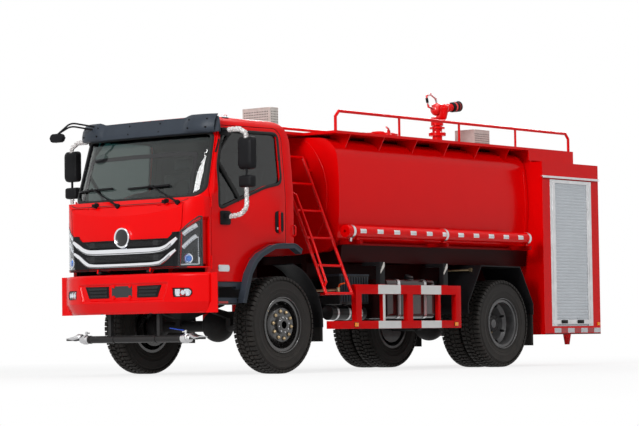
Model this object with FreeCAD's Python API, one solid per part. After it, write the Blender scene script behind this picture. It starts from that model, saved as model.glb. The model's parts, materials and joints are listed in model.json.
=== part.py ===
import FreeCAD, Part
import math
import os

V = FreeCAD.Vector
os.makedirs("parts", exist_ok=True)

# An off-road fire truck, cab over engine, with a water tank and a rear pump box.
# Millimetres. +X forward, +Y the vehicle's left, +Z up, ground at Z = 0.
# Stations along X are counted from the front axle; every piece is moved by MIDDLE at
# the end, so that the origin is under the middle of the whole length.

# Wheels and axles: 9.00R20 tyres on ten-stud rims
TYRE_R = 509.0
TYRE_W = 259.0
RIM_FLANGE_R = 293.0
RIM_SEAT_R = 262.0
RIM_WIDTH = 224.0

WHEELBASE = 3915.0
FRONT_WHEEL_Y = 935.5
HUB_FACE_Y = FRONT_WHEEL_Y + 134.5
SPINDLE_END_Y = HUB_FACE_Y - 25
REAR_WHEEL_Y = 960.0
TWIN_PITCH = 290.0
KINGPIN_Y = 715.0
HUB_R = 95.0
SPINDLE_R = 40.0
RUNNING_FIT = 0.05
BALL_R = 115.0
BALL_FIT = 0.3
KINGPIN_R = 25.0

# Ends of the vehicle
FRONT_END = 1300.0
REAR_END = -5950.0
MIDDLE = -(FRONT_END + REAR_END) / 2.0

# Chassis rails
RAIL_OUT = 400.0
RAIL_FLANGE = 70.0
RAIL_T = 8.0
RAIL_Z = 800.0
RAIL_H = 220.0
RAIL_TOP = RAIL_Z + RAIL_H
RAIL_FRONT = 1000.0
RAIL_REAR = -5850.0
CROSS_X = (960.0, -1100.0, -1900.0, -2900.0, -4300.0, -5700.0)

# Bumper
BUMPER_Z = 639.0
BUMPER_TOP = 1046.0
BUMPER_HALF = 1031.0
BUMPER_T = 60.0

# Cab
WALL = 45.0
CAB_HALF = 972.0
CAB_TOP_HALF = 905.0
CAB_ROOF = 2660.0
CAB_REAR = -300.0
CAB_NOSE = 1270.0
NOSE_Z = 1095.0
SILL_Z = 956.0
CAB_FLOOR_Z = 1360.0
ARCH_TOP_Z = 1330.0
COWL_Z = 1815.0
SCREEN_X = 1150.0
SCREEN_LEAN = 0.322
TUNNEL_HALF = 420.0
DOOR_GAP = 6.0
DOOR_FRONT = 986.0
DOOR_REAR = -165.0
GLASS_T = 6.0
LAMP_DEPTH = 40.0
MIRROR_X = 765.0
TILT_X = 1262.0
TILT_Z = 1072.0
TILT_PIN_R = 12.0
HINGE_R = 9.0
HINGE_PIN_R = 5.0
DOOR_HINGES = (1150.0, 1780.0)
FLAP_AXIS = (1219.0, 1753.0)
FLAP_HINGES = (-520.0, 520.0)

# Tank
TANK_FRONT = -1132.0
TANK_REAR = -4706.0
TANK_HALF = 918.0
TANK_Z = 1930.0
TANK_HALF_H = 650.0
HEAD_RADIUS = 5900.0
HEAD_CROWN = 72.0

# Walkway on the tank
DECK_Z = 2617.0
DECK_T = 30.0
DECK_HALF = 935.0
DECK_FRONT = -1070.0
DECK_REAR = -5671.0
POST_FIRST = -1107.0
POST_PITCH = 1128.0
POST_COUNT = 5
RAILING_TOP = 2851.0
RAILING_R = 17.0
RAILING_Y = 900.0

# Pump box
BOX_FRONT = -4716.0
BOX_REAR = -5925.0
BOX_HALF = 1124.0
BOX_Z = 373.0
BOX_TOP = 2444.0
BOX_WALL = 30.0
SHUTTER_FRONT = -4900.0
SHUTTER_REAR = -5700.0
SHUTTER_Z = 470.0
SHUTTER_TOP = 2235.0

# Side guards and hose tubes
GUARD_Y = 1124.0
GUARD_T = 60.0
TUBE_Y = 1101.0
TUBE_Z = 1512.0
TUBE_R = 65.0
TUBE_FRONT = -1000.0
TUBE_REAR = -4400.0
CLAMP_X = (-1090.0, -2755.0, -4385.0)

# Ladder
LADDER_FRONT = -600.0
LADDER_REAR = -1030.0
LADDER_FOOT = (1156.0, 840.0)
LADDER_HEAD = (495.0, 2340.0)
LADDER_TUBE_R = 17.0
RUNGS = 6

# Monitor
MONITOR_X = -4140.0
MONITOR_NECK_TOP = 2905.0
MONITOR_ARM_Z = 3110.0
MONITOR_R = 60.0

# Manhole
MANHOLE_X = -2950.0
MANHOLE_R = 250.0
MANHOLE_TOP = 2700.0


# ---------------------------------------------------------------- basic shapes
def box(x0, x1, y0, y1, z0, z1):
    """A block between six planes."""
    low = V(min(x0, x1), min(y0, y1), min(z0, z1))
    return Part.makeBox(abs(x1 - x0), abs(y1 - y0), abs(z1 - z0), low)


def place_xz(point, offset):
    return V(point[0], offset, point[1])


def place_xy(point, offset):
    return V(point[0], point[1], offset)


def place_yz(point, offset):
    return V(offset, point[0], point[1])


def corner(before, here, after, radius):
    """The start, middle and end of the arc that rounds one corner."""
    ax, ay = before[0] - here[0], before[1] - here[1]
    bx, by = after[0] - here[0], after[1] - here[1]
    la, lb = math.hypot(ax, ay), math.hypot(bx, by)
    ax, ay, bx, by = ax / la, ay / la, bx / lb, by / lb
    half = math.acos(max(-1.0, min(1.0, ax * bx + ay * by))) / 2.0
    reach = radius / math.tan(half)
    mx, my = ax + bx, ay + by
    lm = math.hypot(mx, my)
    inner = radius / math.sin(half) - radius
    start = (here[0] + ax * reach, here[1] + ay * reach)
    middle = (here[0] + mx / lm * inner, here[1] + my / lm * inner)
    end = (here[0] + bx * reach, here[1] + by * reach)
    return start, middle, end


def face(points, place, offset):
    """A flat face from corners (u, v) or (u, v, radius)."""
    runs = []
    count = len(points)
    for i, point in enumerate(points):
        if len(point) > 2 and point[2] > 0:
            runs.append(corner(points[i - 1], point, points[(i + 1) % count], point[2]))
        else:
            runs.append((point[:2],))
    edges = []
    for i, run in enumerate(runs):
        if len(run) == 3:
            a, b, c = [place(p, offset) for p in run]
            edges.append(Part.Arc(a, b, c).toShape())
        last = place(run[-1], offset)
        first = place(runs[(i + 1) % count][0], offset)
        if (first - last).Length > 1e-6:
            edges.append(Part.makeLine(last, first))
    return Part.Face(Part.Wire(edges))


def side_prism(points, y0, y1):
    """An XZ outline carried across from y0 to y1."""
    return face(points, place_xz, y0).extrude(V(0, y1 - y0, 0))


def plan_prism(points, z0, z1, lean=0.0):
    """An XY outline carried up from z0 to z1, leaning back by lean per unit."""
    return face(points, place_xy, z0).extrude(V(-lean * (z1 - z0), 0, z1 - z0))


def front_prism(points, x0, x1):
    """A YZ outline carried along from x0 to x1."""
    return face(points, place_yz, x0).extrude(V(x1 - x0, 0, 0))


def rod(a, b, radius):
    """A round bar between two points."""
    a, b = V(*a), V(*b)
    return Part.makeCylinder(radius, (b - a).Length, a, b - a)


def across(x, z, y0, y1, radius):
    """A round bar along Y."""
    return rod((x, min(y0, y1), z), (x, max(y0, y1), z), radius)


def upright(x, y, z0, z1, radius):
    """A round bar along Z."""
    return rod((x, y, z0), (x, y, z1), radius)


def pipe(points, radius):
    """A bent tube as bars with balls at the bends."""
    pieces = [rod(a, b, radius) for a, b in zip(points, points[1:])]
    pieces += [Part.makeSphere(radius, V(*p)) for p in points[1:-1]]
    return join(pieces)


def turned(points, x, z, y0, side):
    """A wheel section of (y, r) corners turned about an axle along Y."""
    wire = [V(x, y0 + side * y, z + r) for y, r in points]
    section = Part.Face(Part.makePolygon(wire + [wire[0]]))
    return section.revolve(V(x, 0, z), V(0, 1, 0), 360)


def join(shapes):
    shape = shapes[0]
    if len(shapes) > 1:
        shape = shape.multiFuse(shapes[1:])
    return shape.removeSplitter()


def save(name, shapes):
    """Write one node, moved to the shared frame."""
    if not isinstance(shapes, list):
        shapes = [shapes]
    solids = []
    for shape in shapes:
        solids += shape.Solids
    node = Part.makeCompound(solids) if len(solids) > 1 else solids[0]
    node = node.copy()
    node.translate(V(MIDDLE, 0, 0))
    node.exportStep("parts/" + name + ".step")
    print(name, len(solids), node.isValid())


# ---------------------------------------------------------------- wheels
def tyre(x, y, side):
    half = TYRE_W / 2.0
    rim = RIM_WIDTH / 2.0 - 14.0
    section = [(-rim, RIM_SEAT_R), (-rim, RIM_FLANGE_R), (-half + 6, 360), (-half, 410),
               (-half + 8, 465), (-half + 22, 497), (-half + 40, TYRE_R),
               (half - 40, TYRE_R), (half - 22, 497), (half - 8, 465), (half, 410),
               (half - 6, 360), (rim, RIM_FLANGE_R), (rim, RIM_SEAT_R)]
    return turned(section, x, TYRE_R, y, side)


def barrel(x, y, side):
    """The open rim between its two flanges."""
    edge = RIM_WIDTH / 2.0
    seat = edge - 14.0
    section = [(-edge, RIM_SEAT_R - 14), (-edge, RIM_FLANGE_R), (-seat, RIM_FLANGE_R),
               (-seat, RIM_SEAT_R), (seat, RIM_SEAT_R), (seat, RIM_FLANGE_R),
               (edge, RIM_FLANGE_R), (edge, RIM_SEAT_R - 14)]
    return turned(section, x, TYRE_R, y, side)


def vents(x, side, y0, y1, ring, size, count):
    holes = []
    for i in range(count):
        angle = 2.0 * math.pi * (i + 0.5) / count
        hx = x + ring * math.cos(angle)
        hz = TYRE_R + ring * math.sin(angle)
        holes.append(across(hx, hz, side * y0, side * y1, size))
    return holes


def front_rim(side):
    """A convex disc, hub, brake drum and bore for the spindle."""
    y = FRONT_WHEEL_Y
    disc = [(-10, RIM_SEAT_R - 8), (10, RIM_SEAT_R - 8), (70, 205), (112, 176),
            (112, HUB_R - 10), (96, HUB_R - 10), (96, 170), (56, 196)]
    hub = across(0, TYRE_R, side * 895, side * HUB_FACE_Y, HUB_R)
    nose = across(0, TYRE_R, side * HUB_FACE_Y, side * (HUB_FACE_Y + 10), 62)
    drum = [(895, HUB_R - 5), (895, 205), (790, 205), (790, 172), (880, 172),
            (880, HUB_R - 5)]
    shape = join([barrel(0, side * y, side), turned(disc, 0, TYRE_R, side * y, side),
                  hub, nose, turned(drum, 0, TYRE_R, 0, side),
                  across(0, TYRE_R, side * 880, side * 900, HUB_R)])
    bore = across(0, TYRE_R, side * 800, side * (SPINDLE_END_Y + 8), SPINDLE_R + RUNNING_FIT)
    return shape.cut(Part.makeCompound([bore] + vents(0, side, 950, 1060, 218, 17, 10)))


def rear_rim(side):
    """Two rims back to back on one hub with its drum."""
    x = -WHEELBASE
    outer, inner = REAR_WHEEL_Y, REAR_WHEEL_Y - TWIN_PITCH
    seam = (outer + inner) / 2.0
    seat = RIM_SEAT_R - 8
    out_disc = [(outer, seat), (outer - 20, seat), (seam + 14, 190), (seam, 180),
                (seam, HUB_R - 5), (seam + 16, HUB_R - 5), (seam + 16, 176),
                (outer - 40, 215)]
    in_disc = [(inner, seat), (inner + 20, seat), (seam - 14, 190), (seam, 180),
               (seam, HUB_R - 5), (seam - 16, HUB_R - 5), (seam - 16, 176),
               (inner + 40, 215)]
    shape = join([barrel(x, side * outer, side), barrel(x, side * inner, side),
                  turned(out_disc, x, TYRE_R, 0, side), turned(in_disc, x, TYRE_R, 0, side),
                  across(x, TYRE_R, side * 590, side * 950, HUB_R),
                  across(x, TYRE_R, side * 570, side * 740, 205)])
    bore = across(x, TYRE_R, side * 500, side * 915, SPINDLE_R + RUNNING_FIT)
    holes = vents(x, side, seam + 5, outer + 50, 222, 17, 8)
    return shape.cut(Part.makeCompound([bore] + holes))


def knuckle(side):
    """A cup round the axle ball, with the wheel spindle."""
    centre = V(0, side * KINGPIN_Y, TYRE_R)
    cup = Part.makeSphere(BALL_R + 32, centre)
    cup = cup.fuse(upright(0, side * KINGPIN_Y, TYRE_R - 170, TYRE_R + 170, 48))
    cup = cup.cut(Part.makeSphere(BALL_R + BALL_FIT, centre))
    opening = box(-300, 300, 0, side * (KINGPIN_Y - 48), 0, 1000)
    spindle = across(0, TYRE_R, side * (KINGPIN_Y + 125), side * SPINDLE_END_Y, SPINDLE_R)
    pins = upright(0, side * KINGPIN_Y, TYRE_R - 160, TYRE_R + 160,
                   KINGPIN_R + RUNNING_FIT)
    return cup.cut(opening).fuse(spindle).cut(pins)


# ---------------------------------------------------------------- chassis
def rail(side):
    outline = [(side * RAIL_OUT, RAIL_Z), (side * RAIL_OUT, RAIL_TOP),
               (side * (RAIL_OUT - RAIL_FLANGE), RAIL_TOP),
               (side * (RAIL_OUT - RAIL_FLANGE), RAIL_TOP - RAIL_T),
               (side * (RAIL_OUT - RAIL_T), RAIL_TOP - RAIL_T),
               (side * (RAIL_OUT - RAIL_T), RAIL_Z + RAIL_T),
               (side * (RAIL_OUT - RAIL_FLANGE), RAIL_Z + RAIL_T),
               (side * (RAIL_OUT - RAIL_FLANGE), RAIL_Z)]
    return front_prism(outline, RAIL_REAR, RAIL_FRONT)


def tilt_arm(side):
    """A front arm over the bumper with the cab's pivot pin."""
    arm = side_prism([(940, 860), (1000, 830), (1140, 900), (1225, 1000), (1225, 1052),
                      (TILT_X, 1056), (TILT_X, 1088), (1120, 1080), (940, 1010)],
                     side * 340, side * 362)
    eye = across(TILT_X, TILT_Z, side * 340, side * 362, 16)
    pin = across(TILT_X, TILT_Z, side * 326, side * 388, TILT_PIN_R)
    tie = box(940, 1000, side * 340, side * 400, 860, 1010)
    return join([arm, eye, pin, tie])


def hangers(station, reach):
    blocks = []
    for side in (1, -1):
        for x in (station - reach, station + reach):
            blocks.append(box(x - 25, x + 25, side * 330, side * 400, 755, RAIL_Z))
    return blocks


def chassis_frame():
    parts = [rail(1), rail(-1)]
    inner = RAIL_OUT - RAIL_T
    for x in CROSS_X:
        parts.append(box(x - 40, x + 40, -inner, inner, 840, 980))
    parts += [tilt_arm(1), tilt_arm(-1)]
    parts += hangers(0.0, 615.0)
    parts += hangers(-WHEELBASE, 655.0)
    for side in (1, -1):
        parts.append(box(-255, -195, side * 340, side * 400, RAIL_TOP, 1353))
        parts.append(box(1000, 1110, side * 350, side * 400, 820, 960))
    return join(parts)


def leaf_pack(x, reach, low, mid_top, side):
    high = 755.0
    outline = [(x - reach - 25, high), (x - reach - 25, high - 20), (x - 120, low),
               (x + 120, low), (x + reach + 25, high - 20), (x + reach + 25, high),
               (x + reach - 25, high), (x + 120, mid_top), (x - 120, mid_top),
               (x - reach + 25, high)]
    return side_prism(outline, side * 333, side * 397)


def front_axle():
    parts = [across(0, TYRE_R, -610, 610, 60)]
    parts.append(Part.makeSphere(172, V(0, 150, TYRE_R)))
    parts.append(rod((-230, 150, TYRE_R + 10), (0, 150, TYRE_R), 70))
    for side in (1, -1):
        parts.append(box(-80, 80, side * 333, side * 397, TYRE_R, 590))
        parts.append(Part.makeSphere(BALL_R, V(0, side * KINGPIN_Y, TYRE_R)))
        parts.append(across(0, TYRE_R, side * 590, side * (KINGPIN_Y - 60), 60))
        parts.append(upright(0, side * KINGPIN_Y, TYRE_R - 155, TYRE_R + 155, KINGPIN_R))
    return join(parts)


def rear_axle():
    x = -WHEELBASE
    parts = [across(x, TYRE_R, -540, 540, 72), Part.makeSphere(190, V(x, 0, TYRE_R))]
    parts.append(rod((x + 250, 0, TYRE_R + 10), (x, 0, TYRE_R), 75))
    for side in (1, -1):
        parts.append(box(x - 90, x + 90, side * 333, side * 397, TYRE_R, 600))
        parts.append(across(x, TYRE_R, side * 530, side * 905, SPINDLE_R))
    return join(parts)


def drivetrain():
    """Transfer case under its cross member, and the two shafts."""
    case = box(-2080, -1720, -210, 210, 620, 840)
    front = rod((-1725, 150, 700), (-225, 150, TYRE_R + 10), 38)
    rear = rod((-2075, 0, 700), (-WHEELBASE + 245, 0, TYRE_R + 12), 42)
    centre = rod((-1725, 0, 760), (-1035, 0, 800), 34)
    blocks = join([case, front, rear, centre])
    return blocks.cut(Part.makeCompound([front_axle(), rear_axle(), engine_block()]))


def engine_block():
    """Engine, gearbox and radiator as one heavy mass on its mounts."""
    parts = [box(-420, 760, -280, 280, 740, 1325), box(-1040, -420, -190, 190, 770, 1000)]
    parts.append(box(760, 850, -60, 60, 900, 1000))
    parts.append(box(840, 915, -325, 325, 820, 1325))
    inner = RAIL_OUT - RAIL_T
    for x in (500, -320):
        parts.append(box(x - 50, x + 50, -inner, inner, 850, 900))
    return join(parts)


def fuel_tank():
    body = front_prism([(560, 577, 50), (1000, 577, 50), (1000, 1008, 50), (560, 1008, 50)],
                       -2705, -1845)
    cap = upright(-2330, 930, 1000, 1045, 48)
    straps = [box(x - 30, x + 30, 400, 570, 840, 900) for x in (-2050, -2500)]
    return join([body, cap] + straps)


def air_and_battery():
    """Battery box with the air tank under it; a tool box stands on the other side."""
    battery = box(-1742, -1237, 560, 820, 735, 1056)
    arm = box(-1540, -1440, 400, 560, 850, 900)
    hanger = box(-1500, -1470, 660, 700, 700, 735)
    air = rod((-1735, 720, 639), (-1144, 720, 639), 79)
    left = join([battery, arm, hanger, air])
    tools = box(-2705, -1845, -1000, -560, 600, 1008)
    tie = box(-2350, -2200, -570, -400, 850, 900)
    return [left, join([tools, tie])]


def guard(side):
    """Two square bars, posts and hangers from the rail."""
    out, back = side * GUARD_Y, side * (GUARD_Y - GUARD_T)
    parts = [box(-3040, -1140, out, back, 838, 940), box(-3040, -711, out, back, 462, 546)]
    for x in (-1142, -2050, -2945):
        parts.append(box(x - 98, x, out, back, 462, 940))
    for x in (-1648, -2655):
        parts.append(box(x - 22, x + 22, back, side * (GUARD_Y - 14), 546, 838))
    for x in (-1610, -2760):
        parts.append(box(x - 40, x + 40, out, side * 862, 1150, 1190))
        parts.append(box(x - 40, x + 40, back, out, 930, 1190))
    return join(parts)


def fender_side(side):
    """Angular sheet over the twin wheels and the arc behind the front wheel."""
    line = [(-3207, 622), (-3207, 741), (-3474, 1182), (-4255, 1176), (-4513, 739),
            (-4513, 610)]
    inner = [(-4499, 610), (-4499, 743), (-4247, 1162), (-3482, 1168), (-3221, 745),
             (-3221, 622)]
    sheet = side_prism(line + inner, side * 545, side * 1105)
    post = box(-3900, -3840, side * 400, side * 430, 880, 1170)
    arm = box(-3900, -3840, side * 400, side * 560, 1130, 1170)
    rear = join([sheet, post, arm])
    ring = across(0, TYRE_R, side * 780, side * 1060, 664)
    ring = ring.cut(across(0, TYRE_R, side * 700, side * 1100, 652))
    keep = side_prism([(0, TYRE_R), (-230, 1400), (-900, 1400), (-900, TYRE_R - 30),
                       (0, TYRE_R - 30)], side * 700, side * 1100)
    arc = ring.common(keep)
    bracket = box(-690, -560, side * 400, side * 1000, 815, 845)
    bracket = bracket.cut(across(0, TYRE_R, side * 300, side * 1100, 664))
    return [rear, join([arc, bracket])]


def flap_side(side):
    """Rubber flaps behind the wheels."""
    front = box(-664, -652, side * 800, side * 1050, 330, TYRE_R - 30)
    rear = box(-4511, -4501, side * 570, side * 1095, 246, 610)
    return [front, rear]


def bumper():
    """A bent steel beam with a sunk middle, on two brackets."""
    outer = [(FRONT_END, 600), (1228, 850), (1096, BUMPER_HALF), (1062, BUMPER_HALF)]
    inner = [(1040, 985), (1062, BUMPER_HALF - 60), (1180, 815), (FRONT_END - BUMPER_T, 575)]
    line = outer + inner
    other = [(x, -y) for x, y in reversed(line)]
    beam = plan_prism(line + other, BUMPER_Z, BUMPER_TOP)
    beam = beam.cut(box(1280, 1400, -545, 545, 802, 932))
    for side in (1, -1):
        beam = beam.cut(box(1270, 1400, side * 260, side * 490, 820, 915))
    brackets = [box(1110, 1245, s * 364, s * 400, 820, 960) for s in (1, -1)]
    chamfer = box(1000, 1400, -1200, 1200, BUMPER_Z - 100, BUMPER_Z)
    return join([beam] + brackets).cut(chamfer)


def spray_bar():
    """A pipe under the bumper with a fan nozzle at each end."""
    parts = [across(1110, 381, -700, 700, 38)]
    for side in (1, -1):
        parts.append(across(1110, 381, side * 700, side * 790, 30))
        parts.append(plan_prism([(1085, side * 790), (1065, side * 950),
                                 (1175, side * 950), (1140, side * 790)], 371, 391))
        parts.append(box(1088, 1132, side * 330, side * 370, 400, 640))
        parts.append(box(1088, 1245, side * 330, side * 370, 640, 680))
    return join(parts).cut(bumper())


# ---------------------------------------------------------------- cab
def bow(front, half, z, drop=0.0):
    """The cab's plan outline with a bowed front."""
    return [V(CAB_REAR - 400, -half, z), V(front - 190, -half, z), V(front - 100, -half + 70, z),
            V(front - 30, -half + 232, z), V(front, 0, z), V(front - 30, half - 232, z),
            V(front - 100, half - 70, z), V(front - 190, half, z), V(CAB_REAR - 400, half, z)]


def bowed_prism(front, half, z0, z1, lean):
    p = bow(front, half, z0)
    edges = [Part.makeLine(p[0], p[1]), Part.Arc(p[1], p[2], p[3]).toShape(),
             Part.Arc(p[3], p[4], p[5]).toShape(), Part.Arc(p[5], p[6], p[7]).toShape(),
             Part.makeLine(p[7], p[8]), Part.makeLine(p[8], p[0])]
    return Part.Face(Part.Wire(edges)).extrude(V(-lean * (z1 - z0), 0, z1 - z0))


def cab_side(t):
    """The cab's outline from the side, set in by t."""
    return [(CAB_NOSE + 40, NOSE_Z + t), (CAB_NOSE + 40, 1570), (1215 - t, 1760),
            (SCREEN_X + 20 - t, COWL_Z), (SCREEN_X + 300, COWL_Z), (SCREEN_X + 300, CAB_ROOF - t),
            (CAB_REAR + t, CAB_ROOF - t, 250 - t), (CAB_REAR + t, ARCH_TOP_Z + t),
            (95 + t / 2, 1318 + t), (300 + t, 1228 + t), (392 + t, 1160 + t),
            (485 + t, 1035 + t), (518 + t, SILL_Z + t), (1040, SILL_Z + t),
            (1040, NOSE_Z + t)]


def cab_front(t):
    """The cab's outline from the front, set in by t."""
    half, top = CAB_HALF - t, CAB_TOP_HALF - t
    return [(-half, 800), (half, 800), (half, 1900), (top, CAB_ROOF - t, 110 - t / 2),
            (-top, CAB_ROOF - t, 110 - t / 2), (-half, 1900)]


def cab_block(t):
    """The cab as one solid, set in by t from its skin."""
    nose = bowed_prism(CAB_NOSE - t, CAB_HALF - t, 800, COWL_Z, 0.0)
    upper = bowed_prism(SCREEN_X - t, CAB_HALF - t, COWL_Z, CAB_ROOF + 50, SCREEN_LEAN)
    shape = nose.fuse(upper)
    shape = shape.common(side_prism(cab_side(t), -1100, 1100))
    return shape.common(front_prism(cab_front(t), -900, 1600)).removeSplitter()


def door_outline(grow):
    g = grow
    return [(DOOR_FRONT + g, SILL_Z - 40), (DOOR_FRONT + g, 1885), (800 + g, 2560 + g, 40),
            (DOOR_REAR - g, 2573 + g, 130), (DOOR_REAR - g, 1370 - g), (99 - g, 1361 - g),
            (325 - g, 1269 - g), (424 - g, 1193 - g), (522 - g, 1053 - g),
            (556 - g, 965), (556 - g, SILL_Z - 40)]


def door_prism(grow, side):
    y = (700, 1100) if side > 0 else (-1100, -700)
    return side_prism(door_outline(grow), y[0], y[1])


def window_outline(grow):
    g = grow
    return [(-98 - g, 2000 - g, 25), (160, 1957 - g, 200), (852 + g, 1709 - g, 20),
            (845 + g, 2150, 30), (735 + g, 2500 + g, 40), (-98 - g, 2511 + g, 60)]


SCREEN = [(-905, 1898, 20), (-760, 1832, 30), (760, 1832, 30), (905, 1898, 20),
          (868, 2478, 60), (-868, 2478, 60)]
FLAP = [(-800, 1750), (-785, 1520), (-757, 1455), (-727, 1112), (727, 1112), (757, 1455),
        (785, 1520), (800, 1750)]
FLAP_SLOT = [(-806, 1756), (-791, 1518), (-763, 1452), (-733, 1106), (733, 1106),
             (763, 1452), (791, 1518), (806, 1756)]
LAMP = [(745, 1108), (775, 1460), (985, 1625), (985, 1108)]


def flap_zone(outline, back, sill):
    """The space in front of the nose bay that an outline takes, short of the cab's floor."""
    return front_prism(outline, 1050, 1500).cut(box(0, back, -900, 900, 1000, sill))


def side_wall(depth):
    """Everything deeper inside the cab than its side walls."""
    return front_prism(cab_front(depth), -1000, 1700)


def doorway(side):
    """The opening in the cab's side that a door fills, with its gap."""
    opening = door_prism(DOOR_GAP, side).cut(side_wall(WALL + DOOR_GAP))
    return opening.fuse(hinge_room(side, DOOR_HINGES, 0.0))


def hinge_at(side):
    return DOOR_FRONT + DOOR_GAP / 2.0, side * (CAB_HALF + 2.0)


def hinge_room(side, heights, shift):
    """Room round the door's hinge barrels, or round the cab's lugs when shifted."""
    x, y = hinge_at(side)
    rooms = []
    for z in heights:
        for s in ((0.0,) if shift == 0.0 else (-shift, shift)):
            rooms.append(upright(x, y, z + s - 29, z + s + 29, HINGE_R + 5.5))
    return join(rooms)


def hinge_barrels(side):
    x, y = hinge_at(side)
    return [upright(x, y, z - 24, z + 24, HINGE_R) for z in DOOR_HINGES]


def hinge_pins(side):
    x, y = hinge_at(side)
    return [upright(x, y, z - 60, z + 60, HINGE_PIN_R) for z in DOOR_HINGES]


def hinge_bores(side):
    x, y = hinge_at(side)
    return [upright(x, y, z - 80, z + 80, HINGE_PIN_R + RUNNING_FIT) for z in DOOR_HINGES]


def hinge_lugs(side):
    x, y = hinge_at(side)
    lugs = []
    for z in DOOR_HINGES:
        for s in (-1, 1):
            lugs.append(upright(x, y, z + s * 29, z + s * 72, HINGE_R))
    return lugs


def cab_inside():
    """The hollow of the cab: seats side, foot wells and engine tunnel left out."""
    hollow = cab_block(WALL).common(box(-2000, 1105, -1100, 1100, 0, 3000))
    shoulder = TUNNEL_HALF + WALL
    hollow = hollow.cut(box(-400, 1200, -shoulder, shoulder, 0, CAB_FLOOR_Z + WALL))
    return hollow


def cab_shell(outer, inside):
    """Cab skin with tunnel, nose bay, doorways, windscreen and lamp openings."""
    cuts = [inside]
    cuts.append(box(-400, 1016, -TUNNEL_HALF, TUNNEL_HALF, 800, CAB_FLOOR_Z))
    cuts.append(box(1140, 1238, -640, 640, 900, 1700))
    cuts.append(flap_zone(FLAP_SLOT, 1190, 1129).common(nose_skin(-10, 37)))
    for side in (1, -1):
        outline = [(side * y, z) for y, z in LAMP]
        cuts.append(front_prism(outline, 1020, 1500).common(nose_skin(-10, LAMP_DEPTH)))
        cuts.append(doorway(side))
        cuts.append(box(1230, 1300, side * 334, side * 394, 1050, 1098))
    cuts.append(front_prism(SCREEN, 800, 1600).common(cab_block(-10)).cut(
        box(-2000, 1600, -1100, 1100, 0, COWL_Z)))
    cuts.append(front_prism([(-400, 2020, 40), (400, 2020, 40), (400, 2380, 40),
                             (-400, 2380, 40)], -500, -200))
    cuts.append(box(1000, 1045, -TUNNEL_HALF, TUNNEL_HALF, 800, 1100))
    cuts += [across(FLAP_AXIS[0], FLAP_AXIS[1], y - 29, y + 29, HINGE_R + 5.5)
             for y in FLAP_HINGES]
    shell = outer.cut(Part.makeCompound(cuts))
    lugs = []
    for y in FLAP_HINGES:
        lugs.append(across(FLAP_AXIS[0], FLAP_AXIS[1], y - 60, y + 60, HINGE_PIN_R))
        for s in (-1, 1):
            lugs.append(across(FLAP_AXIS[0], FLAP_AXIS[1], y + s * 29, y + s * 72, HINGE_R))
    for side in (1, -1):
        lugs += hinge_pins(side) + hinge_lugs(side)
    for side in (1, -1):
        lug = side_prism([(TILT_X - 60, 1106), (TILT_X - 24, TILT_Z - 14), (TILT_X, TILT_Z - 20),
                          (TILT_X + 14, TILT_Z - 6), (TILT_X + 8, 1106)],
                         side * 368, side * 386)
        bore = across(TILT_X, TILT_Z, side * 300, side * 400, TILT_PIN_R + RUNNING_FIT)
        lugs.append(lug.cut(bore))
    return shell, lugs


def nose_skin(t0, t1):
    """The part of the skin between two depths, ahead of the doors."""
    skin = cab_block(t0).cut(cab_block(t1))
    return skin.common(box(1010, 1500, -1100, 1100, 1000, COWL_Z))


def cab_glass():
    skin = cab_block(14).cut(cab_block(14 + GLASS_T))
    screen = skin.common(front_prism(SCREEN, 800, 1600)).cut(
        box(-2000, 1600, -1100, 1100, 0, COWL_Z))
    rear = front_prism([(-400, 2020, 40), (400, 2020, 40), (400, 2380, 40),
                        (-400, 2380, 40)], CAB_REAR + 14, CAB_REAR + 14 + GLASS_T)
    return [screen, rear]


def front_flap():
    panel = nose_skin(0, 28).common(flap_zone(FLAP, 1200, 1135))
    x, z = FLAP_AXIS
    barrels = [across(x, z, y - 24, y + 24, HINGE_R) for y in FLAP_HINGES]
    cuts = [across(x, z, y - 80, y + 80, HINGE_PIN_R + RUNNING_FIT) for y in FLAP_HINGES]
    for y in FLAP_HINGES:
        for s in (-1, 1):
            cuts.append(across(x, z, y + s * 24, y + s * 78, HINGE_R + 5.5))
    return panel.fuse(barrels).cut(Part.makeCompound(cuts))


def grille_bars():
    """Two bright trapezoid bars and a plain disc on the flap."""
    skin = cab_block(-20).cut(cab_block(0)).common(box(1150, 1500, -1100, 1100, 1000, 1600))
    top = [(-744, 1421), (-690, 1383), (-615, 1330), (-520, 1316), (520, 1316), (615, 1330),
           (690, 1383), (744, 1421), (731, 1366), (660, 1310), (582, 1258), (520, 1244),
           (-520, 1244), (-582, 1258), (-660, 1310), (-731, 1366)]
    low = [(-728, 1295), (-660, 1240), (-589, 1180), (-520, 1165), (520, 1165), (589, 1180),
           (660, 1240), (728, 1295), (715, 1240), (640, 1180), (545, 1122), (510, 1116),
           (-510, 1116), (-545, 1122), (-640, 1180), (-715, 1240)]
    bars = [skin.common(front_prism(outline, 1150, 1500)) for outline in (top, low)]
    disc = rod((1269.5, 0, 1419), (1290, 0, 1419), 122)
    disc = disc.cut(Part.makeCompound(bars)).cut(cab_block(0))
    return bars + [disc]


def headlamp(side):
    outline = [(side * y, z) for y, z in LAMP]
    return nose_skin(0, LAMP_DEPTH).common(front_prism(outline, 1020, 1500))


def sun_visor(outer):
    band = cab_block(-55).cut(outer)
    band = band.common(box(835, 1400, -1100, 1100, 2490, CAB_ROOF - 8))
    return band


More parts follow.
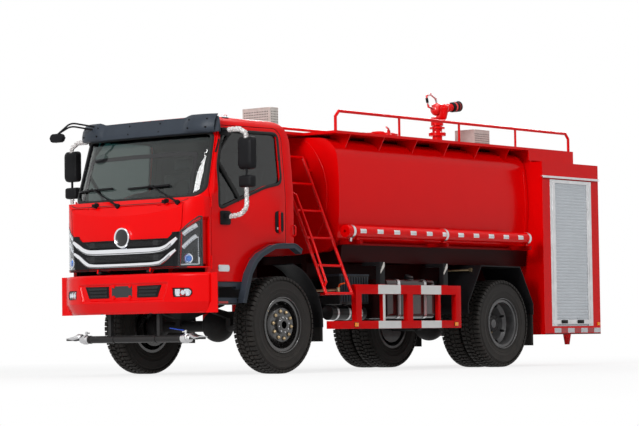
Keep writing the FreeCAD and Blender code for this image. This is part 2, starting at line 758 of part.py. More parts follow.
def cab_steps(outer):
    """Steps under the doors and the flares round the front wheels."""
    parts = []
    for side in (1, -1):
        step = box(625, 1010, side * 700, side * 915, 735, SILL_Z)
        step = step.fuse(box(625, 1010, side * 915, side * 985, 735, SILL_Z - 8))
        well = box(600, 985, side * 740, side * 1100, 790, 905)
        line = [(607, 735), (508, 1044), (413, 1179), (318, 1253), (95, 1345), (-227, 1358),
                (-335, 1297), (-322, 1254), (-214, 1312), (85, 1300), (290, 1215),
                (375, 1150), (462, 1030), (560, 735)]
        flare = side_prism(line, side * CAB_HALF, side * 1058)
        parts.append(step.cut(well))
        tab = box(545, 625, side * 925, side * CAB_HALF, 880, SILL_Z - 8)
        parts.append(flare)
        parts.append(tab)
    return [join([parts[0], parts[1], parts[2]]), join([parts[3], parts[4], parts[5]])]


def door(side, outer):
    """One door: the cab's skin inside the doorway, with the window cut out."""
    skin = outer.common(door_prism(0, side)).cut(side_wall(WALL))
    y = (700, 1100) if side > 0 else (-1100, -700)
    skin = skin.cut(side_prism(window_outline(0), y[0], y[1]))
    handle = box(-72, -48, side * 970, side * 1000, 1472, 1698)
    skin = skin.cut(hinge_room(side, DOOR_HINGES, 53.0))
    barrels = [b.cut(hinge_room(side, DOOR_HINGES, 53.0)) for b in hinge_barrels(side)]
    shape = join([skin, handle] + barrels)
    return shape.cut(Part.makeCompound(hinge_bores(side)))


def door_glass(side):
    y = (700, 1100) if side > 0 else (-1100, -700)
    skin = cab_block(18).cut(cab_block(18 + GLASS_T))
    return skin.common(side_prism(window_outline(0), y[0], y[1]))


def mirror_arm(side):
    """Main and near-view mirrors on two bent arms."""
    y = side * 1262
    x = MIRROR_X
    main = box(x - 42, x + 42, y - 105, y + 105, 2088, 2424)
    near = box(x - 40, x + 46, y - 95, y + 95, 1905, 2030)
    bar = rod((x, y, 1860), (x, y, 2460), 14)
    top = pipe([(x, side * 905, 2510), (x, side * 1180, 2510), (x, y, 2450)], 16)
    low = pipe([(x, y, 1880), (x, y, 1700), (x, side * 1200, 1630),
                (x, side * 960, 1610)], 16)
    return join([main, near, bar, top, low])


def kerb_mirror(outer, visor):
    """The look-down mirror on its arm at the right front corner."""
    head = front_prism([(-1130, 2480, 30), (-940, 2480, 30), (-940, 2575, 30),
                        (-1130, 2575, 30)], 1170, 1230)
    arm = pipe([(905, -700, 2640), (1180, -860, 2690), (1200, -1030, 2570)], 11)
    return join([head, arm]).cut(outer).cut(visor)


def seat(y):
    base = box(-60, 430, y - 200, y + 200, CAB_FLOOR_Z + WALL, 1520)
    cushion = box(-90, 470, y - 250, y + 250, 1520, 1640)
    back = side_prism([(-110, 1560), (30, 1560), (-60, 2200, 30), (-190, 2200, 30)],
                      y - 240, y + 240)
    head = box(-190, -100, y - 130, y + 130, 2200, 2360)
    return join([base, cushion, back, head])


def dashboard():
    body = side_prism([(1105, 1500), (1105, 1780), (900, 1760, 60), (820, 1640, 40),
                       (880, 1500)], -840, 840)
    column = rod((900, 450, 1650), (688, 450, 1874), 28)
    wheel = Part.makeTorus(215, 15, V(690, 450, 1872), V(-0.69, 0, 0.72))
    spokes = [rod((690, 450 - 210, 1872), (690, 450 + 210, 1872), 11)]
    return join([body.common(cab_inside()), column, wheel] + spokes)


def deck_boxes():
    """Two perforated covers, one behind the cab and one behind the monitor."""
    front = box(-620, -490, 100, 500, DECK_Z, 2861)
    rear = box(-5010, -4700, -150, 150, DECK_Z, 2890)
    return [front, rear]


# ---------------------------------------------------------------- tank and walkway
def tank_section(x, scale=1.0):
    w, h, z = TANK_HALF, TANK_HALF_H, TANK_Z
    p = [(w - 30, -0.62 * h), (w, 0), (w - 30, 0.62 * h), (0.885 * w, 0.845 * h),
         (0.67 * w, 0.965 * h), (0, h)]

    def at(point, sy, sz):
        return V(x, sy * point[0] * scale, z + sz * point[1] * scale)
    arcs = [Part.Arc(at(p[0], 1, 1), at(p[1], 1, 1), at(p[2], 1, 1)),
            Part.Arc(at(p[2], 1, 1), at(p[3], 1, 1), at(p[4], 1, 1)),
            Part.Arc(at(p[4], 1, 1), at(p[5], 1, 1), at(p[4], -1, 1)),
            Part.Arc(at(p[4], -1, 1), at(p[3], -1, 1), at(p[2], -1, 1)),
            Part.Arc(at(p[2], -1, 1), at(p[1], -1, 1), at(p[0], -1, 1)),
            Part.Arc(at(p[2], -1, -1), at(p[3], -1, -1), at(p[4], -1, -1)),
            Part.Arc(at(p[4], -1, -1), at(p[5], -1, -1), at(p[4], 1, -1)),
            Part.Arc(at(p[4], 1, -1), at(p[3], 1, -1), at(p[2], 1, -1))]
    return Part.Face(Part.Wire([arc.toShape() for arc in arcs]))


def water_tank():
    """The tank with a dished front head and a weld band."""
    crown = TANK_FRONT + HEAD_CROWN
    body = tank_section(TANK_REAR).extrude(V(crown - TANK_REAR, 0, 0))
    ball = Part.makeSphere(HEAD_RADIUS, V(crown - HEAD_RADIUS, 0, TANK_Z))
    return body.common(ball)


def tank_bearers(tank):
    """Long beams on the rails, side skirts and cross saddles under the tank."""
    parts = []
    for side in (1, -1):
        parts.append(box(-4690, -1180, side * 330, side * 400, RAIL_TOP, 1330))
        parts.append(front_prism([(side * 862, 1190), (side * 880, 1190),
                                  (side * 908, 1400), (side * 890, 1400)], -4690, -1180))
    for i in range(6):
        x = -1250 - 680 * i
        parts.append(front_prism([(-875, 1190), (875, 1190), (900, 1400), (-900, 1400)],
                                 x - 14, x + 14))
    for side in (1, -1):
        for x in (CLAMP_X[0] - 110,) + CLAMP_X[1:]:
            parts.append(box(x - 22, x + 22, side * 876, side * 1166, 1375, 1420))
    shape = join(parts)
    tubes = [rod((TUBE_REAR, s * TUBE_Y, TUBE_Z), (TUBE_FRONT, s * TUBE_Y, TUBE_Z), TUBE_R)
             for s in (1, -1)]
    return shape.cut(Part.makeCompound([tank] + tubes))


def hose_tube(side):
    tube = rod((TUBE_REAR, side * TUBE_Y, TUBE_Z), (TUBE_FRONT, side * TUBE_Y, TUBE_Z), TUBE_R)
    parts = [tube]
    for x in CLAMP_X:
        band = rod((x - 20, side * TUBE_Y, TUBE_Z), (x + 20, side * TUBE_Y, TUBE_Z), TUBE_R + 5)
        parts.append(band)
    drop = [box(x - 20, x + 20, side * 1085, side * 1117, 1420, TUBE_Z)
            for x in (CLAMP_X[0] - 110,) + CLAMP_X[1:]]
    return join(parts + drop)


def walkway(tank):
    """Deck on the tank and box, with edge flanges, gussets and the manhole neck."""
    top, low = DECK_Z, DECK_Z - DECK_T
    parts = [box(DECK_FRONT, DECK_REAR, -DECK_HALF, DECK_HALF, low, top)]
    parts.append(box(-345, DECK_FRONT, -480, 480, low, top))
    for side in (1, -1):
        edge = side * DECK_HALF
        parts.append(box(BOX_FRONT, DECK_REAR, edge, side * (DECK_HALF - 20), 2467, top))
        for i in range(8):
            x = -1335 - 600 * i
            gusset = front_prism([(side * 640, low), (side * 925, low), (side * 820, 2400),
                                  (side * 640, 2400)], x - 6, x + 6)
            parts.append(gusset)
    for x in (-4760, -5200, -5640):
        parts.append(box(x - 10, x + 10, -DECK_HALF, DECK_HALF, BOX_TOP, low))
    parts.append(upright(MANHOLE_X, 0, low, MANHOLE_TOP, MANHOLE_R))
    parts.append(box(MANHOLE_X + 262, MANHOLE_X + 318, -60, 60, top, 2740))
    shape = join(parts)
    cuts = [tank, box(BOX_FRONT - 1, BOX_REAR, -1200, 1200, 0, BOX_TOP)]
    cuts.append(upright(MANHOLE_X, 0, low + 6, MANHOLE_TOP + 1, MANHOLE_R - 20))
    cuts.append(across(MANHOLE_X + 290, 2722, -80, 80, HINGE_R + RUNNING_FIT))
    return shape.cut(Part.makeCompound(cuts))


def railing(side):
    """A rail on five posts."""
    y = side * RAILING_Y
    top = RAILING_TOP - RAILING_R
    posts = [POST_FIRST - POST_PITCH * i for i in range(POST_COUNT)]
    rail_line = pipe([(posts[0], y, DECK_Z), (posts[0], y, top - 60), (posts[0] - 60, y, top),
                      (posts[-1] + 60, y, top), (posts[-1], y, top - 60),
                      (posts[-1], y, DECK_Z)], RAILING_R)
    parts = [rail_line]
    for x in posts[1:-1]:
        parts.append(upright(x, y, DECK_Z, top, RAILING_R - 3))
    deck = box(DECK_FRONT + 100, DECK_REAR - 100, y - 100, y + 100, DECK_Z - 200, DECK_Z)
    return join(parts).cut(deck)


def ladder(tank):
    """Two rails and six rungs leaning in against the tank's front head."""
    y0, z0 = LADDER_FOOT
    y1, z1 = LADDER_HEAD
    parts = []
    for x in (LADDER_FRONT, LADDER_REAR):
        parts.append(rod((x, y0, z0), (x, y1, z1), LADDER_TUBE_R))
        parts.append(Part.makeSphere(LADDER_TUBE_R, V(x, y0, z0)))
        parts.append(Part.makeSphere(LADDER_TUBE_R, V(x, y1, z1)))
    for i in range(RUNGS):
        f = i / (RUNGS - 1.0)
        y, z = y0 + (y1 - y0) * f, z0 + (z1 - z0) * f
        parts.append(rod((LADDER_REAR, y, z), (LADDER_FRONT, y, z), LADDER_TUBE_R - 3))
    grab = pipe([(LADDER_FRONT, 1128, 905), (LADDER_FRONT, 1160, 960),
                 (LADDER_FRONT, 1000, 1360), (LADDER_FRONT, 760, 1900),
                 (LADDER_FRONT, 665, 1953)], 13)
    parts.append(grab)
    for x in (-1000, -780):
        parts.append(box(x - 18, x + 18, 400, 1150, 826, 850))
    arm = box(-1300, LADDER_REAR, 545, 575, 2185, 2215)
    parts.append(arm)
    return join(parts).cut(tank)


# ---------------------------------------------------------------- pump box
def rear_box():
    """A hollow locker with a shelf on the rails and a shutter opening each side."""
    outer = box(BOX_FRONT, BOX_REAR, -BOX_HALF, BOX_HALF, BOX_Z, BOX_TOP)
    t = BOX_WALL
    room = box(BOX_FRONT - t, BOX_REAR + t, -BOX_HALF + t, BOX_HALF - t, BOX_Z + t, BOX_TOP - t)
    shelf = box(BOX_FRONT - t, BOX_REAR + t, -BOX_HALF + t, BOX_HALF - t, RAIL_TOP,
                RAIL_TOP + 30)
    openings = [box(SHUTTER_FRONT, SHUTTER_REAR, -2000, 2000, SHUTTER_Z, SHUTTER_TOP)]
    openings.append(box(BOX_FRONT + 10, BOX_FRONT - t - 5, -RAIL_OUT, RAIL_OUT, RAIL_Z,
                        RAIL_TOP))
    shell = outer.cut(Part.makeCompound([room] + openings))
    shell = shell.fuse(shelf)
    drain = Part.makeCone(30, 50, 125, V(-5515, 900, 248), V(0, 0, 1))
    return join([shell, drain])


def shutter(side):
    out = side * (BOX_HALF - 10)
    slab = box(SHUTTER_FRONT, SHUTTER_REAR, out, side * (BOX_HALF - BOX_WALL), SHUTTER_Z,
               SHUTTER_TOP)
    bar = box(SHUTTER_FRONT - 35, SHUTTER_REAR + 35, out, side * (BOX_HALF + 4), 495, 545)
    return join([slab, bar])


def rear_fittings():
    """Rear lamps, two steps and a locker door on the back of the box."""
    parts = []
    for side in (1, -1):
        parts.append(box(BOX_REAR, REAR_END, side * 780, side * 1080, 430, 560))
    parts.append(box(BOX_REAR, BOX_REAR - 18, -480, 480, 640, 2200))
    return parts


# ---------------------------------------------------------------- monitor and manhole lid
def monitor_base():
    neck = upright(MONITOR_X, 0, DECK_Z, MONITOR_NECK_TOP, MONITOR_R)
    foot = upright(MONITOR_X, 0, DECK_Z, DECK_Z + 20, 120)
    ring = upright(MONITOR_X, 0, 2790, 2815, 100)
    pin = upright(MONITOR_X, 0, MONITOR_NECK_TOP - 5, MONITOR_NECK_TOP + 55, 40)
    return join([neck, foot, ring, pin])


def monitor_body():
    """A swivel head with a side loop that carries the elevation joint."""
    head = upright(MONITOR_X, 0, MONITOR_NECK_TOP + 5, 3010, 75)
    loop = pipe([(MONITOR_X, 0, 2975), (MONITOR_X + 40, 120, 3010), (MONITOR_X + 40, 150, 3110),
                 (MONITOR_X, 120, MONITOR_ARM_Z)], 48)
    loop = loop.fuse(rod((MONITOR_X, 125, MONITOR_ARM_Z), (MONITOR_X, 72, MONITOR_ARM_Z), 58))
    pin = rod((MONITOR_X, 80, MONITOR_ARM_Z), (MONITOR_X, 20, MONITOR_ARM_Z), 30)
    shape = join([head, loop, pin])
    bore = upright(MONITOR_X, 0, 2800, MONITOR_NECK_TOP + 62, 40 + RUNNING_FIT)
    return shape.cut(bore)


def monitor_nozzle():
    """The barrel with its elevation boss and the handle hoop in front."""
    x, z = MONITOR_X, MONITOR_ARM_Z
    boss = Part.makeSphere(80, V(x, 0, z)).common(box(x - 100, x + 100, -100, 66, z - 80, z + 80))
    barrel_tube = rod((x, 0, z), (x - 300, 0, z + 45), 42)
    tip = rod((x - 300, 0, z + 45), (x - 440, 0, z + 66), 60)
    hoop = pipe([(x + 60, 0, z), (x + 170, 0, z + 20), (x + 200, 0, z + 150), (x + 120, 0, z + 176),
                 (x + 20, 0, z + 130), (x, 0, z + 70)], 12)
    shape = join([boss, barrel_tube, tip, hoop])
    return shape.cut(rod((x, 100, z), (x, 12, z), 30 + RUNNING_FIT))


def manhole_lid():
    lid = upright(MANHOLE_X, 0, MANHOLE_TOP + 6, MANHOLE_TOP + 31, MANHOLE_R + 5)
    lid = lid.cut(box(MANHOLE_X + 225, MANHOLE_X + 400, -70, 70, 2600, 2800))
    wheel = Part.makeTorus(70, 9, V(MANHOLE_X - 40, 0, 2764), V(0, 0, 1))
    stem = upright(MANHOLE_X - 40, 0, 2720, 2770, 12)
    spoke = rod((MANHOLE_X - 110, 0, 2764), (MANHOLE_X + 30, 0, 2764), 7)
    pin = across(MANHOLE_X + 290, 2722, -95, 95, HINGE_R)
    arms = [box(MANHOLE_X + 150, MANHOLE_X + 290, s * 72, s * 92, 2716, 2728) for s in (1, -1)]
    return join([lid, wheel, stem, spoke, pin] + arms)


# ---------------------------------------------------------------- write every node
def main():
    outer = cab_block(0)
    tank = water_tank()
    save("chassis_frame", chassis_frame())
    save("front_axle", front_axle())
    save("rear_axle", rear_axle())
    springs = []
    for side in (1, -1):
        springs.append(leaf_pack(0.0, 615.0, 590.0, 660.0, side))
        springs.append(leaf_pack(-WHEELBASE, 655.0, 600.0, 690.0, side))
    save("leaf_springs", springs)
    save("drivetrain", drivetrain())
    save("engine_block", engine_block())
    save("fuel_tank", fuel_tank())
    save("air_and_battery", air_and_battery())
    save("side_guards", [guard(1), guard(-1)])
    save("fenders", fender_side(1) + fender_side(-1))
    save("mudflaps", flap_side(1) + flap_side(-1))
    save("front_bumper", bumper())
    save("spray_bar", spray_bar())
    save("water_tank", tank)
    save("tank_bearers", tank_bearers(tank))
    save("hose_tubes", [hose_tube(1), hose_tube(-1)])
    save("walkway", walkway(tank))
    save("deck_boxes", deck_boxes())
    save("handrails", [railing(1), railing(-1)])
    save("ladder", ladder(tank))
    save("rear_box", rear_box())
    save("shutters", [shutter(1), shutter(-1)])
    save("rear_fittings", rear_fittings())
    save("monitor_base", monitor_base())
    save("monitor_body", monitor_body())
    save("monitor_nozzle", monitor_nozzle())
    save("manhole_lid", manhole_lid())
    for side, name in ((1, "left"), (-1, "right")):
        save("front_knuckle_" + name, knuckle(side))
        save("front_tyre_" + name, tyre(0.0, side * FRONT_WHEEL_Y, side))
        save("front_rim_" + name, front_rim(side))
        twins = [tyre(-WHEELBASE, side * (REAR_WHEEL_Y - TWIN_PITCH * i), side) for i in (0, 1)]
        save("rear_tyres_" + name, twins)
        save("rear_rims_" + name, rear_rim(side))
    shell, lugs = cab_shell(outer, cab_inside())
    flap = front_flap()
    save("cab_shell", join([shell] + lugs))
    save("cab_glass", cab_glass())
    save("front_flap", flap)
    save("grille_bars", grille_bars())
    save("headlamps", [headlamp(1), headlamp(-1)])
    visor = sun_visor(outer)
    save("sun_visor", visor)
    save("cab_steps", cab_steps(outer))
    save("seats", [seat(455), seat(-455)])
    save("dashboard", dashboard())
    save("kerb_mirror", kerb_mirror(outer, visor))
    for side, name in ((1, "left"), (-1, "right")):
        panel = door(side, outer)
        save("door_" + name, panel)
        save("door_glass_" + name, door_glass(side))
        save("mirror_" + name, mirror_arm(side).cut(outer))


main()
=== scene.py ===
"""An off-road fire truck: its finishes, fittings, tyres, lamps and studio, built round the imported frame.

Every piece is in metres in the frame's own axes: +X forward, +Y the truck's left, +Z up.
"""
import json
import logging
import math
from dataclasses import dataclass, field
from enum import Enum
from typing import Callable, Optional, Sequence

import bmesh
import bpy
from mathutils import Matrix, Vector
from mathutils.bvhtree import BVHTree

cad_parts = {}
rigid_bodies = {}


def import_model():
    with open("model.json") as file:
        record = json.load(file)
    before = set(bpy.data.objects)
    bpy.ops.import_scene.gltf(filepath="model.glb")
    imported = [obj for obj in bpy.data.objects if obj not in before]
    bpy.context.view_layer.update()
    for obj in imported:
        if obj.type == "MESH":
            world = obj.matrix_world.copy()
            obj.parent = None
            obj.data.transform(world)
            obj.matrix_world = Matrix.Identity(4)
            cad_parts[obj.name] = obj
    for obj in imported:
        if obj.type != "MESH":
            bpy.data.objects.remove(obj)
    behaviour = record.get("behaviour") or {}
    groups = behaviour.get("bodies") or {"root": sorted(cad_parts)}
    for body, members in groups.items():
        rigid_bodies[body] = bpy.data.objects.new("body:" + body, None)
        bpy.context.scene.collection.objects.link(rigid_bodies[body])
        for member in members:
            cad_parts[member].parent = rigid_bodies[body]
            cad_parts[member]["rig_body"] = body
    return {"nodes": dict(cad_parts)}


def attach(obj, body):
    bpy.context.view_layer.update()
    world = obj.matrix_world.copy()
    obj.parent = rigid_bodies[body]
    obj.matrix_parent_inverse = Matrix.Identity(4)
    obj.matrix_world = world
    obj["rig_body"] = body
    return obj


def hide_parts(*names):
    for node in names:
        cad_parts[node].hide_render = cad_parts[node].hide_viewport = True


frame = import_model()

Point = Sequence[float]
LOG = logging.getLogger("fire_truck")
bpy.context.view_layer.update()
SIDES = (("left", 1.0), ("right", -1.0))
EDGE_BLUR = 0.003
BAND_BLUR = 0.06
WHEEL_HEIGHT = 0.509
FILM_RADIUS = 0.0235
FAR_AHEAD = 6.0
FAR_BESIDE = 3.0
FLAT_ANGLE = math.radians(1.5)
SHARP_ANGLE = math.radians(34)
PAD_GRAIN = 0.014
PAD_PRESSURE = 4.0
PAD_FRAMES = 20


class Body(str, Enum):
    """The moving bodies that pieces ride on."""

    CHASSIS = "chassis"
    CAB = "cab"
    FLAP = "flap"
    LID = "lid"
    BARREL = "monitor_barrel"


class Slot(str, Enum):
    """The record's material slots."""

    RED = "red_paint"
    BLACK_STEEL = "black_steel"
    TYRE = "tyre"
    RIM_FRONT = "rim_front"
    RIM_REAR = "rim_rear"
    GREY_PLASTIC = "grey_plastic"
    BLACK_PLASTIC = "black_plastic"
    RUBBER = "rubber"
    LAMP = "lamp"
    CHROME = "chrome"
    SILVER = "silver"
    FABRIC = "fabric"


class Axis(Enum):
    """The directions that plates are cut through."""

    X = 0
    Y = 1


# ---------------------------------------------------------------- node trees
class Wiring:
    """Adds nodes to one tree and joins their sockets."""

    def __init__(self, tree: bpy.types.NodeTree) -> None:
        """Keep the tree that nodes are added to.

        Args:
            tree: The tree that nodes are added to.
        """
        self.tree = tree

    def feed(self, socket: bpy.types.NodeSocket, value: object) -> None:
        """Link a socket to another one, or set its plain value.

        Args:
            socket: The input socket.
            value: Another socket, or a plain value.
        """
        if isinstance(value, bpy.types.NodeSocket):
            self.tree.links.new(value, socket)
        else:
            socket.default_value = value

    def add(self, kind: str, settings: Optional[dict] = None, *values: object, **named: object
            ) -> bpy.types.Node:
        """Add a node.

        Args:
            kind: The node's type name.
            settings: Node properties to set first.
            values: Values or sockets for the inputs in order; None leaves one alone.
            named: Values or sockets for inputs by name, with _ for a space.

        Returns:
            The new node.
        """
        node = self.tree.nodes.new(kind)
        for key, value in (settings or {}).items():
            setattr(node, key, value)
        for socket, value in zip(node.inputs, values):
            if value is not None:
                self.feed(socket, value)
        for key, value in named.items():
            self.feed(node.inputs[key.replace("_", " ")], value)
        return node

    def maths(self, operation: str, *values: object) -> bpy.types.NodeSocket:
        """The result of a Math node on the given values.

        Args:
            operation: The operation.
            values: Values or sockets.

        Returns:
            The result socket.
        """
        return self.add("ShaderNodeMath", {"operation": operation}, *values).outputs[0]

    def vectors(self, operation: str, *values: object) -> bpy.types.NodeSocket:
        """The vector result of a Vector Math node on the given values.

        Args:
            operation: The operation.
            values: Values or sockets.

        Returns:
            The result socket.
        """
        return self.add("ShaderNodeVectorMath", {"operation": operation}, *values).outputs[0]

    def blend(self, share: object, first: object, second: object) -> bpy.types.NodeSocket:
        """A colour between two colours, by share.

        Args:
            share: How much of the second colour there is.
            first: The first colour.
            second: The second colour.

        Returns:
            The colour socket.
        """
        node = self.add("ShaderNodeMix", {"data_type": "RGBA"})
        self.feed(node.inputs[0], share)
        self.feed(node.inputs[6], first)
        self.feed(node.inputs[7], second)
        return node.outputs[2]

    def between(self, value: object, low: float, high: float, to_low: float, to_high: float
                ) -> bpy.types.NodeSocket:
        """Map a value from one range to another, clamped.

        Args:
            value: The value.
            low: The start of its range.
            high: The end of its range.
            to_low: The start of the new range.
            to_high: The end of the new range.

        Returns:
            The result socket.
        """
        node = self.add("ShaderNodeMapRange", None, value, low, high, to_low, to_high)
        return node.outputs[0]


@dataclass(frozen=True)
class Plug:
    """One named socket of a node group."""

    name: str
    kind: str
    value: object = None


def open_group(name: str, kind: str, inputs: Sequence[Plug], outputs: Sequence[Plug]
               ) -> tuple[Wiring, bpy.types.Node, bpy.types.Node]:
    """Start a node group with named sockets.

    Args:
        name: The group's name.
        kind: The node tree's type.
        inputs: Its input sockets.
        outputs: Its output sockets.

    Returns:
        The wiring, the input node and the output node.
    """
    tree = bpy.data.node_groups.new(name, kind)
    for plug in inputs:
        socket = tree.interface.new_socket(plug.name, in_out="INPUT", socket_type=plug.kind)
        if plug.value is not None:
            socket.default_value = plug.value
    for plug in outputs:
        tree.interface.new_socket(plug.name, in_out="OUTPUT", socket_type=plug.kind)
    wiring = Wiring(tree)
    return wiring, tree.nodes.new("NodeGroupInput"), tree.nodes.new("NodeGroupOutput")


class Effects:
    """Shader groups that several finishes share, each built once."""

    def __init__(self) -> None:
        """Build the four groups."""
        self.drift = self.build_drift()
        self.dust = self.build_dust()
        self.grain = self.build_grain()
        self.cells = self.build_cells()

    @staticmethod
    def build_drift() -> bpy.types.NodeTree:
        """A slow change of brightness over a surface.

        Returns:
            The group's tree.
        """
        wires, start, end = open_group(
            "colour drift", "ShaderNodeTree",
            [Plug("Vector", "NodeSocketVector"), Plug("Colour", "NodeSocketColor"),
             Plug("Roughness", "NodeSocketFloat", 0.5), Plug("Amount", "NodeSocketFloat", 0.1),
             Plug("Scale", "NodeSocketFloat", 3.0)],
            [Plug("Colour", "NodeSocketColor"), Plug("Roughness", "NodeSocketFloat")])
        source = start.outputs
        noise = wires.add("ShaderNodeTexNoise", None, Vector=source["Vector"], Scale=source["Scale"],
                          Detail=5.0)
        swing = wires.maths("SUBTRACT", noise.outputs["Fac"], 0.5)
        push = wires.maths("MULTIPLY_ADD", swing, wires.maths("MULTIPLY", source["Amount"], 4.0), 1.0)
        tinted = wires.add("ShaderNodeVectorMath", {"operation": "SCALE"}, source["Colour"])
        wires.feed(tinted.inputs["Scale"], push)
        wires.feed(end.inputs["Colour"], tinted.outputs[0])
        rough = wires.maths("MULTIPLY_ADD", swing, source["Amount"], source["Roughness"])
        wires.feed(end.inputs["Roughness"], rough)
        return wires.tree

    @staticmethod
    def build_dust() -> bpy.types.NodeTree:
        """Road dust that fades out upwards and lies in patches.

        Returns:
            The group's tree.
        """
        wires, start, end = open_group(
            "road dust", "ShaderNodeTree",
            [Plug("Vector", "NodeSocketVector"), Plug("Colour", "NodeSocketColor"),
             Plug("Roughness", "NodeSocketFloat", 0.5), Plug("Dust", "NodeSocketColor", (0.2, 0.17, 0.14, 1)),
             Plug("Amount", "NodeSocketFloat", 0.3), Plug("Top", "NodeSocketFloat", 1.0)],
            [Plug("Colour", "NodeSocketColor"), Plug("Roughness", "NodeSocketFloat"),
             Plug("Mask", "NodeSocketFloat")])
        source = start.outputs
        height = wires.add("ShaderNodeSeparateXYZ", None, source["Vector"]).outputs["Z"]
        low = wires.maths("SUBTRACT", 1.0, wires.maths("DIVIDE", height, source["Top"]))
        noise = wires.add("ShaderNodeTexNoise", None, Vector=source["Vector"], Scale=9.0, Detail=6.0)
        patch = wires.between(noise.outputs["Fac"], 0.35, 0.7, 0.25, 1.0)
        mask = wires.maths("MULTIPLY", wires.maths("MULTIPLY", wires.between(low, 0.0, 1.0, 0.0, 1.0),
                                                   patch), source["Amount"])
        wires.feed(end.inputs["Colour"], wires.blend(mask, source["Colour"], source["Dust"]))
        span = wires.maths("SUBTRACT", 0.9, source["Roughness"])
        wires.feed(end.inputs["Roughness"], wires.maths("MULTIPLY_ADD", mask, span, source["Roughness"]))
        wires.feed(end.inputs["Mask"], mask)
        return wires.tree

    @staticmethod
    def build_grain() -> bpy.types.NodeTree:
        """Fine relief: orange peel, cast skin or moulded grain.

        Returns:
            The group's tree.
        """
        wires, start, end = open_group(
            "surface grain", "ShaderNodeTree",
            [Plug("Vector", "NodeSocketVector"), Plug("Scale", "NodeSocketFloat", 200.0),
             Plug("Depth", "NodeSocketFloat", 0.0005), Plug("Stretch", "NodeSocketVector", (1, 1, 1))],
            [Plug("Normal", "NodeSocketVector"), Plug("Height", "NodeSocketFloat")])
        source = start.outputs
        place = wires.vectors("MULTIPLY", source["Vector"], source["Stretch"])
        noise = wires.add("ShaderNodeTexNoise", None, Vector=place, Scale=source["Scale"], Detail=3.0)
        bump = wires.add("ShaderNodeBump", None, Strength=1.0, Height=noise.outputs["Fac"],
                         Distance=source["Depth"])
        wires.feed(end.inputs["Normal"], bump.outputs[0])
        wires.feed(end.inputs["Height"], noise.outputs["Fac"])
        return wires.tree

    @staticmethod
    def build_cells() -> bpy.types.NodeTree:
        """A field of small round or honeycomb cells, with a mask of their walls.

        Returns:
            The group's tree.
        """
        wires, start, end = open_group(
            "cells", "ShaderNodeTree",
            [Plug("Vector", "NodeSocketVector"), Plug("Scale", "NodeSocketFloat", 60.0),
             Plug("Wall", "NodeSocketFloat", 0.08), Plug("Jumble", "NodeSocketFloat", 0.0),
             Plug("Depth", "NodeSocketFloat", 0.001)],
            [Plug("Mask", "NodeSocketFloat"), Plug("Normal", "NodeSocketVector")])
        source = start.outputs
        edge = wires.add("ShaderNodeTexVoronoi", {"feature": "DISTANCE_TO_EDGE"}, Vector=source["Vector"],
                         Scale=source["Scale"], Randomness=source["Jumble"])
        mask = wires.maths("LESS_THAN", edge.outputs["Distance"], source["Wall"])
        bump = wires.add("ShaderNodeBump", None, Strength=1.0, Height=edge.outputs["Distance"],
                         Distance=source["Depth"])
        wires.feed(end.inputs["Mask"], mask)
        wires.feed(end.inputs["Normal"], bump.outputs[0])
        return wires.tree


EFFECTS = Effects()


